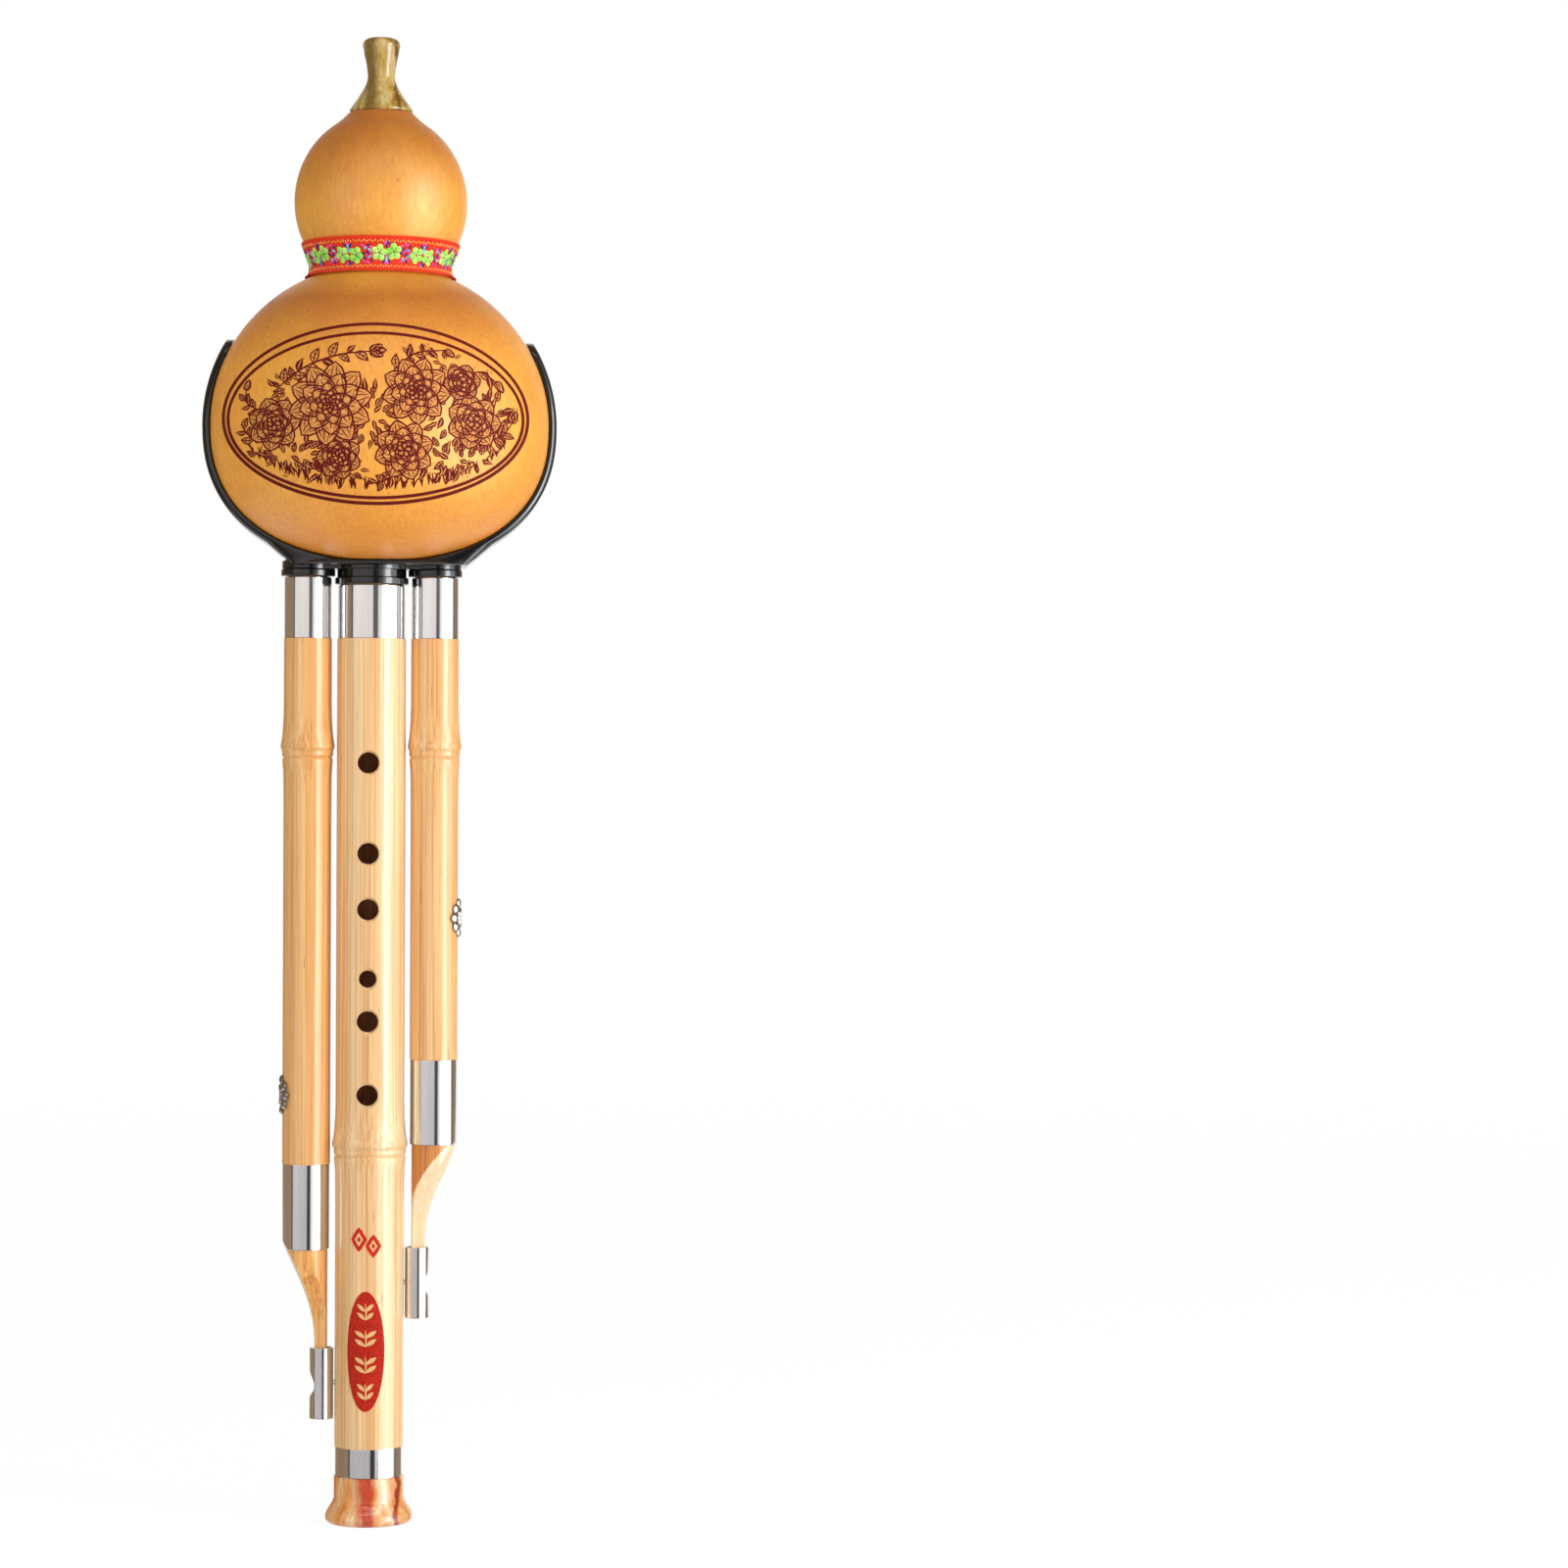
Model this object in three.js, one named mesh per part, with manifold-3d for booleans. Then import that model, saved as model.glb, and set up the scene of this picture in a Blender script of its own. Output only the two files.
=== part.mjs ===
// Hulusi: a gourd flute with a melody pipe in the middle and a drone pipe on each side.
// Millimetres, +Z up. The finger holes face -Y.
// The origin is on the gourd's centre line, in the plane of the bell's mouth.

import * as THREE from 'three'
import { mergeVertices } from 'three/addons/utils/BufferGeometryUtils.js'
import Module from 'manifold-3d'

// Fits and fineness
const slidingGap = 0.3
const gluedGap = 0.15
const cutOverrun = 4
const weldDistance = 0.0001
const gourdSegments = 32
const cavitySegments = 24
const pipeSegments = 20
const smallSegments = 12
const rivetSegments = 8
const bulbSteps = 6
const cavitySteps = 3
const curveSteps = 3
const profileSteps = 4
const nodeSteps = 5
const petalSteps = 4
const flatCurveSteps = 8

// Melody pipe, from the bell's mouth up
const mainPipeX = -2.3
const pipePitch = 19.2
const mainRadius = 10.4
const mainBoreRadius = 6.5
const mainFerruleRadius = 10.2
const ferruleWall = 0.6
const bellHeight = 14.3
const bellTopRadius = 10.55
const bellMouthRadius = 13.2
const bellLipHeight = 4
const bellRimFlat = 1.2
const bellStraightLength = 6.3
const bellThroatRadius = 7
const bellSocketDepth = 8.3
const bottomFerruleLength = 8.9
const mainBambooLength = 244.6
const topFerruleLength = 16.1
const mainNodeRise = 91.6
const nodeBulge = 1
const nodeHalfLength = 4.2
const nodeGroove = 0.35
const ridgeShare = 0.3
const grooveShare = 0.5
const tenonLength = 14.3
const mainTenonRadius = 8.2

// Finger holes in the front, thumb hole and lower holes in the back
const fingerHoleRadius = 3.2
const fingerHoleOffset = 0.85
const holeChamfer = 0.6
const holeHeightShares = [0.8596, 0.7573, 0.6942, 0.6161, 0.568, 0.4851]
const holeRadiusShares = [1, 1, 1, 0.82, 1, 1]
const thumbHoleHeightShare = 0.917
const tuningHoleRadius = 2.6
const tuningHoleHeightShare = 0.36
const tasselHoleRadius = 1.6
const tasselHoleHeightShare = 0.302
const tasselHoleSpread = 5

// Drone pipes
const droneRadius = 7.25
const droneBoreRadius = 4
const droneFerruleRadius = 7.15
const droneTenonRadius = 5.2
const droneNodeDrop = 32.5
const droneNodeBulge = 0.9
const ventRadius = 2.2
const lowerFerruleLength = 25.8
const lowerFerruleHold = 12
const leftScarfTopZ = 86
const leftScarfTurn = 8
const leftFerruleDrop = 3
const leftVentRise = 43.7
const rightScarfTopZ = 116.3
const rightScarfTurn = 14
const rightFerruleDrop = 1.8
const rightVentRise = 67

// Slanted tail under each drone, and the spring clip that holds its tongue
const tailRadius = 6.6
const scarfLength = 31
const tongueInnerX = 2.9
const tongueHalfWidth = 2.2
const tongueTaperLength = 13
const scarfStartX = 7.3
const scarfControlShares = [[0.275, 0.21], [0.951, 0.548]]
const clipDrop = 33
const clipHeight = 21.5
const clipRadius = 3.6
const clipWall = 0.55
const clipStandOff = 0.35
const clipNotchDepth = 1.2
const clipNotchShares = [0.34, 0.62]
const tongueEndGap = 2
const rivetShankRadius = 0.8
const rivetHeadRadius = 1.1
const rivetHeadHeight = 0.4
const rivetBite = 2

// Flower-shaped grommet round each drone's vent
const rosetteRadius = 6.2
const rosetteHeight = 1
const rosettePetals = 10
const rosettePetalDepth = 0.9

// Sockets under the cradle
const corkWall = 1
const droneCorkShare = 0.65
const socketWall = 0.7
const socketStopHeight = 1.5
const mainRimRadius = 11.2
const mainRimHeight = 2.1
const mainNeckHeight = 2.5
const droneRimRadius = 8.2
const droneRimHeight = 2.2
const rimEdge = 0.4

// Cradle
const bossHeight = 1.1
const bossWall = 0.75
const webHalfWidth = 6.5
const cradleFloor = 1.4
const cradleWall = 2
const cradleFootRadius = 28.4
const cradleShoulderRadius = 41.4
const cradleShoulderRise = 12
const cradleFootHalfWidth = 13
const cradleTipHalfWidth = 5
const cradleHeight = 68.2

// Gourd
const lowerBulbRadius = 51.4
const lowerBulbDrop = 40.9
const lowerBulbCut = 1
const lowerBulbPower = 2.33
const lowerBulbRise = 49
const lowerWaistLead = 4.1
const waistRadius = 20.5
const lowerWaistShare = 0.071
const upperBulbRadius = 26.1
const upperBulbDrop = 19.6
const upperWaistLeadShare = 0.388
const upperWaistShare = 0.54
const upperBulbTop = 27.1
const neckRadius = 9.8
const neckBlendShare = 0.26
const neckControlShare = 0.35
const gourdWall = 2.8
const neckLand = 5.4

// Ribbon round the waist
const ribbonRise = 8.5
const ribbonDrop = 4
const ribbonThickness = 0.6

// Mouthpiece
const mouthpieceHeight = 22.8
const flangeRadius = 9.6
const flangeEdge = 1
const mouthpieceBoreRadius = 3.1
const mouthpieceTenonRadius = 5.8
const mouthpieceTenonLength = 10
const tenonEdge = 0.8
const mouthpieceOutlineShares = [
  [0.885, 0.118], [0.72, 0.22], [0.53, 0.375], [0.458, 0.535], [0.47, 0.7], [0.5, 0.8],
]
const lipRadius = 5.7
const lipHeight = 4.2

// Free reeds
const mainReedRise = 46
const droneReedRise = 36
const reedSeatDepth = 10
const reedTubeWall = 2.2
const droneReedTubeWall = 1.5
const reedTubeCap = 1.6
const reedFlatShare = 0.79
const reedPlateThickness = 0.5
const reedPlateEdge = 0.3
const reedPlateDrop = 6
const reedPlateLength = 28
const reedPlateBorder = 3.2
const reedTongueRootShare = 0.5
const reedTongueTipShare = 0.24
const reedTongueThickness = 0.3

// Heights that follow from the sizes above
const mainShoulderZ = bellHeight + bottomFerruleLength
const ferruleEdgeZ = mainShoulderZ + mainBambooLength
const mainFerruleTopZ = ferruleEdgeZ + topFerruleLength
const mainRimZ = mainFerruleTopZ + slidingGap
const bossBottomZ = mainRimZ + mainRimHeight + mainNeckHeight
const droneRimZ = bossBottomZ - droneRimHeight
const droneFerruleTopZ = droneRimZ - slidingGap
const cradleFloorZ = bossBottomZ + bossHeight
const gourdCutZ = cradleFloorZ + cradleFloor + slidingGap
const lowerBulbZ = gourdCutZ - lowerBulbCut + lowerBulbDrop
const waistZ = lowerBulbZ + lowerBulbRise
const upperBulbZ = waistZ + upperBulbDrop
const gourdTopZ = upperBulbZ + upperBulbTop
const tenonTopZ = mainFerruleTopZ + tenonLength
const droneX = { left: mainPipeX - pipePitch, right: mainPipeX + pipePitch }

const wasm = await Module()
wasm.setup()

// Colours and finishes
const gourdSkin = new THREE.MeshStandardMaterial({ color: 0xc9842f, roughness: 0.45, metalness: 0 })
const paleBamboo = new THREE.MeshStandardMaterial({ color: 0xd8bd86, roughness: 0.5, metalness: 0 })
const tailBamboo = new THREE.MeshStandardMaterial({ color: 0xd69a55, roughness: 0.5, metalness: 0 })
const chrome = new THREE.MeshStandardMaterial({ color: 0xd9dadc, roughness: 0.12, metalness: 1 })
const blackResin = new THREE.MeshStandardMaterial({ color: 0x101012, roughness: 0.2, metalness: 0 })
const amberResin = new THREE.MeshStandardMaterial({ color: 0xb8742c, roughness: 0.2, metalness: 0 })
const cork = new THREE.MeshStandardMaterial({ color: 0xb98d5c, roughness: 0.9, metalness: 0 })
const brass = new THREE.MeshStandardMaterial({ color: 0xc8a14a, roughness: 0.35, metalness: 1 })
const redRibbon = new THREE.MeshStandardMaterial({ color: 0xc8161d, roughness: 0.7, metalness: 0 })

// A closed geometry as a solid, with its faces turned outward.
function toSolid(geometry) {
  const bare = geometry.clone()
  bare.deleteAttribute('normal')
  bare.deleteAttribute('uv')
  const welded = mergeVertices(bare, weldDistance)
  const positions = welded.attributes.position.array
  const index = welded.index.array
  const corners = []
  let volume = 0
  const a = new THREE.Vector3()
  const b = new THREE.Vector3()
  const c = new THREE.Vector3()
  for (let i = 0; i < index.length; i += 3) {
    const [p, q, r] = [index[i], index[i + 1], index[i + 2]]
    if (p === q || q === r || r === p) continue
    corners.push(p, q, r)
    a.fromArray(positions, p * 3)
    b.fromArray(positions, q * 3)
    c.fromArray(positions, r * 3)
    volume += a.dot(b.cross(c))
  }
  if (volume < 0) corners.reverse()
  const mesh = new wasm.Mesh({
    numProp: 3,
    vertProperties: new Float32Array(positions),
    triVerts: new Uint32Array(corners),
  })
  return new wasm.Manifold(mesh)
}

// A named mesh made from a solid.
function piece(name, solid, material) {
  const { vertProperties, triVerts } = solid.getMesh()
  const geometry = new THREE.BufferGeometry()
  geometry.setAttribute('position', new THREE.BufferAttribute(vertProperties, 3))
  geometry.setIndex(new THREE.BufferAttribute(triVerts, 1))
  geometry.computeVertexNormals()
  const mesh = new THREE.Mesh(geometry, material)
  mesh.name = name
  return mesh
}

const point = (radius, height) => new THREE.Vector2(radius, height)

// A closed outline of radius and height, turned round the Z axis.
function turned(outline, segments) {
  const geometry = new THREE.LatheGeometry([...outline, outline[0].clone()], segments)
  geometry.rotateX(Math.PI / 2)
  return toSolid(geometry)
}

// A plain round rod on the Z axis.
function rod(radius, bottom, top, segments = pipeSegments) {
  return turned([point(0, bottom), point(radius, bottom), point(radius, top), point(0, top)], segments)
}

// A plain ring on the Z axis.
function ring(innerRadius, outerRadius, bottom, top, segments = pipeSegments) {
  const corners = [
    point(innerRadius, bottom),
    point(outerRadius, bottom),
    point(outerRadius, top),
    point(innerRadius, top),
  ]
  return turned(corners, segments)
}

// A flat shape drawn in Y and Z, pushed out along X from one place to another.
function pushedAlongX(shape, from, to) {
  const options = { depth: to - from, bevelEnabled: false, curveSegments: flatCurveSteps }
  const geometry = new THREE.ExtrudeGeometry(shape, options)
  const basis = new THREE.Matrix4().makeBasis(
    new THREE.Vector3(0, 1, 0),
    new THREE.Vector3(0, 0, 1),
    new THREE.Vector3(1, 0, 0),
  )
  geometry.applyMatrix4(basis)
  geometry.translate(from, 0, 0)
  return toSolid(geometry)
}

// A flat shape drawn in X and Z, pushed out along Y from one place to another.
function pushedAlongY(shape, from, to) {
  const options = { depth: to - from, bevelEnabled: false, curveSegments: flatCurveSteps }
  const geometry = new THREE.ExtrudeGeometry(shape, options)
  const basis = new THREE.Matrix4().makeBasis(
    new THREE.Vector3(1, 0, 0),
    new THREE.Vector3(0, 0, 1),
    new THREE.Vector3(0, -1, 0),
  )
  geometry.applyMatrix4(basis)
  geometry.translate(0, to, 0)
  return toSolid(geometry)
}

// A flat shape from a list of corners.
function polygon(corners) {
  return new THREE.Shape(corners.map(([x, y]) => new THREE.Vector2(x, y)))
}

// A rod along X or Y, for drilling.
function drill(radius, length, axis, segments = smallSegments) {
  const geometry = new THREE.CylinderGeometry(radius, radius, length, segments)
  if (axis === 'x') geometry.rotateZ(Math.PI / 2)
  return toSolid(geometry)
}

// An outline moved outward by a distance, or inward by a negative one.
function offsetOutline(outline, distance) {
  return outline.map((here, i) => {
    const before = outline[Math.max(i - 1, 0)]
    const after = outline[Math.min(i + 1, outline.length - 1)]
    const tangent = after.clone().sub(before).normalize()
    return point(here.x + tangent.y * distance, here.y - tangent.x * distance)
  })
}

// The stretch of a rising outline between two heights.
function outlineBetween(outline, low, high) {
  const radiusAt = height => {
    const i = outline.findIndex(p => p.y > height)
    if (i < 0) return outline.at(-1).x
    if (i === 0) return outline[0].x
    const [from, to] = [outline[i - 1], outline[i]]
    return THREE.MathUtils.mapLinear(height, from.y, to.y, from.x, to.x)
  }
  const inside = outline.filter(p => p.y > low && p.y < high)
  return [point(radiusAt(low), low), ...inside, point(radiusAt(high), high)]
}

// The gourd's outside, from the edge of its flat cut up to the edge of its neck.
// The lower bulb is a squarish half oval under a round one, the upper bulb is round,
// and the waist and neck are short curves that leave the bulbs along their slope.
function gourdOutline(stepsPerBulb) {
  const outline = []
  const cutAngle = Math.acos(((lowerBulbZ - gourdCutZ) / lowerBulbDrop) ** (lowerBulbPower / 2))
  for (let i = 0; i < stepsPerBulb; i++) {
    const angle = THREE.MathUtils.lerp(cutAngle, Math.PI / 2, i / stepsPerBulb)
    const radius = lowerBulbRadius * Math.sin(angle) ** (2 / lowerBulbPower)
    outline.push(point(radius, lowerBulbZ - lowerBulbDrop * Math.cos(angle) ** (2 / lowerBulbPower)))
  }

  const lowJoinRadius = THREE.MathUtils.lerp(waistRadius, lowerBulbRadius, lowerWaistShare)
  const lowJoinAngle = Math.acos(lowJoinRadius / lowerBulbRadius)
  const lowHalfHeight = (lowerBulbRise - lowerWaistLead) / Math.sin(lowJoinAngle)
  for (let i = 0; i < stepsPerBulb; i++) {
    const angle = lowJoinAngle * i / stepsPerBulb
    outline.push(point(lowerBulbRadius * Math.cos(angle), lowerBulbZ + lowHalfHeight * Math.sin(angle)))
  }

  const lowJoin = point(lowJoinRadius, waistZ - lowerWaistLead)
  const lowSlope = lowerBulbRadius * Math.sin(lowJoinAngle) / (lowHalfHeight * Math.cos(lowJoinAngle))
  const lowControl = point(waistRadius, lowJoin.y + (lowJoin.x - waistRadius) / lowSlope)
  const waist = point(waistRadius, waistZ)
  outline.push(...new THREE.QuadraticBezierCurve(lowJoin, lowControl, waist).getPoints(curveSteps))

  const highJoinRadius = THREE.MathUtils.lerp(waistRadius, upperBulbRadius, upperWaistShare)
  const highJoinAngle = Math.acos(highJoinRadius / upperBulbRadius)
  const highJoin = point(highJoinRadius, waistZ + upperBulbDrop * upperWaistLeadShare)
  const highHalfHeight = (upperBulbZ - highJoin.y) / Math.sin(highJoinAngle)
  const highSlope = upperBulbRadius * Math.sin(highJoinAngle) / (highHalfHeight * Math.cos(highJoinAngle))
  const highControl = point(waistRadius, highJoin.y - (highJoin.x - waistRadius) / highSlope)
  outline.push(...new THREE.QuadraticBezierCurve(waist, highControl, highJoin).getPoints(curveSteps).slice(1))

  const neckJoinRadius = THREE.MathUtils.lerp(neckRadius, upperBulbRadius, neckBlendShare)
  const neckJoinAngle = Math.acos(neckJoinRadius / upperBulbRadius)
  for (let i = 1; i <= stepsPerBulb; i++) {
    const angle = THREE.MathUtils.lerp(-highJoinAngle, neckJoinAngle, i / stepsPerBulb)
    outline.push(point(upperBulbRadius * Math.cos(angle), upperBulbZ + highHalfHeight * Math.sin(angle)))
  }

  const neckJoin = outline.at(-1)
  const neckSlope = upperBulbRadius * Math.sin(neckJoinAngle) / (highHalfHeight * Math.cos(neckJoinAngle))
  const neckStep = (gourdTopZ - neckJoin.y) * neckControlShare
  const neckControl = point(neckJoin.x - neckSlope * neckStep, neckJoin.y + neckStep)
  const neckEdge = point(neckRadius, gourdTopZ)
  outline.push(...new THREE.QuadraticBezierCurve(neckJoin, neckControl, neckEdge).getPoints(curveSteps).slice(1))
  return outline
}

// Everything inside a rising outline, as a solid.
function filled(outline, segments) {
  return turned([point(0, outline[0].y), ...outline, point(0, outline.at(-1).y)], segments)
}

const gourdOutside = gourdOutline(bulbSteps)

// Outside radius of each socket's upper part, which passes through cradle and gourd.
const mainSocketBore = mainTenonRadius + gluedGap + corkWall + slidingGap
const droneSocketBore = droneTenonRadius + gluedGap + corkWall * droneCorkShare + slidingGap
const mainSpigotRadius = mainSocketBore + socketWall
const droneSpigotRadius = droneSocketBore + socketWall
const socketPlaces = [
  { x: droneX.left, spigot: droneSpigotRadius },
  { x: mainPipeX, spigot: mainSpigotRadius },
  { x: droneX.right, spigot: droneSpigotRadius },
]

function gourd() {
  const cavityFloorZ = gourdCutZ + gourdWall
  const cavityTopZ = gourdTopZ - neckLand
  const inside = outlineBetween(offsetOutline(gourdOutline(cavitySteps), -gourdWall), cavityFloorZ, cavityTopZ)
  let solid = filled(gourdOutside, gourdSegments).subtract(filled(inside, cavitySegments))
  const holeRadius = mouthpieceTenonRadius + slidingGap
  solid = solid.subtract(rod(holeRadius, upperBulbZ, gourdTopZ + cutOverrun))
  for (const { x, spigot } of socketPlaces) {
    const hole = rod(spigot + slidingGap, gourdCutZ - cutOverrun, cavityFloorZ + lowerBulbDrop / 2)
    solid = solid.subtract(hole.translate([x, 0, 0]))
  }
  return piece('gourd', solid, gourdSkin)
}

function waistRibbon() {
  const bottom = waistZ - ribbonDrop
  const top = waistZ + ribbonRise
  const inner = outlineBetween(offsetOutline(gourdOutside, slidingGap), bottom, top)
  const outer = outlineBetween(offsetOutline(gourdOutside, slidingGap + ribbonThickness), bottom, top)
  return piece('waist_ribbon', turned([...outer, ...inner.reverse()], gourdSegments), redRibbon)
}

// The cradle hugs the gourd's sides and bottom like a strap.
// Its floor carries three round bosses on a web, for the sockets.
function cradle() {
  const clearance = offsetOutline(gourdOutside, slidingGap)
  const clearanceFoot = [point(clearance[0].x, gourdCutZ - slidingGap), ...clearance]
  const outside = offsetOutline(gourdOutside, slidingGap + cradleWall)
  const shoulderZ = cradleFloorZ + cradleShoulderRise
  const foot = [point(cradleFootRadius, cradleFloorZ), point(cradleShoulderRadius, shoulderZ)]
  const tipZ = cradleFloorZ + cradleHeight

  const strap = new THREE.Shape()
  strap.moveTo(-cradleFootHalfWidth, cradleFloorZ)
  strap.lineTo(cradleFootHalfWidth, cradleFloorZ)
  strap.lineTo(cradleTipHalfWidth, tipZ - cradleTipHalfWidth)
  strap.absarc(0, tipZ - cradleTipHalfWidth, cradleTipHalfWidth, 0, Math.PI, false)
  const reach = lowerBulbRadius + cutOverrun

  let solid = filled(outside, gourdSegments).add(filled(foot, gourdSegments))
  solid = solid.intersect(pushedAlongX(strap, -reach, reach))
  const bossTopZ = gourdCutZ + cradleFloor
  for (const { x, spigot } of socketPlaces) {
    solid = solid.add(rod(spigot + gluedGap + bossWall, bossBottomZ, bossTopZ).translate([x, 0, 0]))
  }
  const web = polygon([
    [droneX.left, bossBottomZ],
    [droneX.right, bossBottomZ],
    [droneX.right, bossTopZ],
    [droneX.left, bossTopZ],
  ])
  solid = solid.add(pushedAlongY(web, -webHalfWidth, webHalfWidth))
  solid = solid.subtract(filled(clearanceFoot, gourdSegments))
  for (const { x, spigot } of socketPlaces) {
    const hole = rod(spigot + gluedGap, bossBottomZ - cutOverrun, bossTopZ + lowerBulbDrop / 2)
    solid = solid.subtract(hole.translate([x, 0, 0]))
  }
  return piece('cradle', solid, blackResin)
}

// A socket: a rim below, a neck up to the boss, and a spigot through cradle and gourd
// that ends in an inner stop for the pipe's tenon.
function socket(name, bore, rimRadius, rimZ, rimHeight, collarRadius, stopRadius) {
  const rimTopZ = rimZ + rimHeight
  const stopZ = tenonTopZ + slidingGap
  const outline = [
    point(bore, rimZ),
    point(rimRadius - rimEdge, rimZ),
    point(rimRadius, rimZ + rimEdge),
    point(rimRadius, rimTopZ - rimEdge),
    point(rimRadius - rimEdge, rimTopZ),
  ]
  if (rimTopZ < bossBottomZ) outline.push(point(collarRadius, rimTopZ), point(collarRadius, bossBottomZ))
  outline.push(
    point(bore + socketWall, bossBottomZ),
    point(bore + socketWall, stopZ + socketStopHeight),
    point(stopRadius, stopZ + socketStopHeight),
    point(stopRadius, stopZ),
    point(bore, stopZ),
  )
  return piece(name, turned(outline, pipeSegments), blackResin)
}

function corkSleeve(name, tenonRadius, boreRadius, rimZ) {
  const inner = tenonRadius + gluedGap
  const outer = boreRadius - slidingGap
  return piece(name, ring(inner, outer, rimZ + rimEdge, tenonTopZ - rimEdge), cork)
}

// The outside of a bamboo pipe between two heights, with one node:
// a raised ridge and a shallow groove just below it.
function bambooOutline(radius, bottom, top, nodeZ, bulge) {
  const outline = [point(radius, bottom)]
  for (let i = 0; i <= nodeSteps; i++) {
    const along = 2 * i / nodeSteps - 1
    const ridge = bulge * Math.max(0, Math.cos(Math.PI * (along - ridgeShare))) ** 2
    const groove = nodeGroove * Math.max(0, Math.cos(Math.PI * (along + grooveShare))) ** 2
    outline.push(point(radius + ridge - groove, nodeZ + nodeHalfLength * (along - ridgeShare)))
  }
  outline.push(point(radius, top))
  return outline
}

// A hole into the front (-Y) or back (+Y) of a pipe, with a chamfer at its edge.
function fingerHole(radius, x, z, pipeRadius, side) {
  const mouth = Math.sqrt(pipeRadius ** 2 - x ** 2)
  const height = holeChamfer + cutOverrun
  const cone = new THREE.CylinderGeometry(radius + height, radius, height, smallSegments)
  cone.translate(0, mouth - holeChamfer + height / 2, 0)
  if (side < 0) cone.rotateZ(Math.PI)
  const bore = drill(radius, pipeRadius, 'y').translate([0, side * pipeRadius / 2, 0])
  return toSolid(cone).add(bore).translate([x, 0, z])
}

function mainPipe() {
  const seat = mainFerruleRadius - ferruleWall - gluedGap
  const bottom = bellHeight - bellSocketDepth
  const nodeZ = mainShoulderZ + mainNodeRise
  const outline = [
    point(mainBoreRadius, bottom),
    point(seat, bottom),
    point(seat, mainShoulderZ),
    ...bambooOutline(mainRadius, mainShoulderZ, ferruleEdgeZ, nodeZ, nodeBulge),
    point(seat, ferruleEdgeZ),
    point(seat, mainFerruleTopZ),
    point(mainTenonRadius, mainFerruleTopZ),
    point(mainTenonRadius, tenonTopZ),
    point(mainBoreRadius, tenonTopZ),
  ]
  let solid = turned(outline, pipeSegments)
  holeHeightShares.forEach((share, i) => {
    const radius = fingerHoleRadius * holeRadiusShares[i]
    solid = solid.subtract(fingerHole(radius, -fingerHoleOffset, ferruleEdgeZ * share, mainRadius, -1))
  })
  const back = [
    [fingerHoleRadius, 0, thumbHoleHeightShare],
    [tuningHoleRadius, 0, tuningHoleHeightShare],
    [tasselHoleRadius, -tasselHoleSpread / 2, tasselHoleHeightShare],
    [tasselHoleRadius, tasselHoleSpread / 2, tasselHoleHeightShare],
  ]
  for (const [radius, x, share] of back) {
    solid = solid.subtract(fingerHole(radius, x, ferruleEdgeZ * share, mainRadius, 1))
  }
  for (const side of [-1, 1]) {
    const z = side < 0 ? clipMiddleZ(leftScarfTopZ) : clipMiddleZ(rightScarfTopZ)
    const hole = drill(rivetShankRadius + gluedGap, rivetBite + slidingGap + cutOverrun, 'x', rivetSegments)
    const middle = mainRadius - rivetBite - slidingGap + (rivetBite + slidingGap + cutOverrun) / 2
    solid = solid.subtract(hole.translate([side * middle, 0, z]))
  }
  return piece('main_pipe', solid, paleBamboo)
}

function bell() {
  const seat = mainFerruleRadius - ferruleWall
  const socketZ = bellHeight - bellSocketDepth
  const straightZ = bellHeight - bellStraightLength
  const flare = new THREE.CubicBezierCurve(
    point(bellMouthRadius, bellLipHeight / 2),
    point(bellMouthRadius, bellLipHeight),
    point(bellTopRadius, (straightZ + bellLipHeight) / 2),
    point(bellTopRadius, straightZ),
  )
  const lip = new THREE.QuadraticBezierCurve(
    point(bellMouthRadius - bellLipHeight / 2, 0),
    point(bellMouthRadius, 0),
    point(bellMouthRadius, bellLipHeight / 2),
  )
  const throat = new THREE.QuadraticBezierCurve(
    point(bellThroatRadius, socketZ),
    point(bellThroatRadius, bellLipHeight / 2),
    point(bellMouthRadius - bellLipHeight / 2 - bellRimFlat, 0),
  )
  const outline = [
    ...lip.getPoints(curveSteps),
    ...flare.getPoints(profileSteps).slice(1),
    point(bellTopRadius, bellHeight),
    point(seat, bellHeight),
    point(seat, socketZ),
    ...throat.getPoints(curveSteps),
  ]
  return piece('bell', turned(outline, pipeSegments), amberResin)
}

// A thin metal sleeve over a turned-down stretch of pipe.
function ferrule(outerRadius, bottom, top) {
  return ring(outerRadius - ferruleWall, outerRadius, bottom, top)
}

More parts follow.
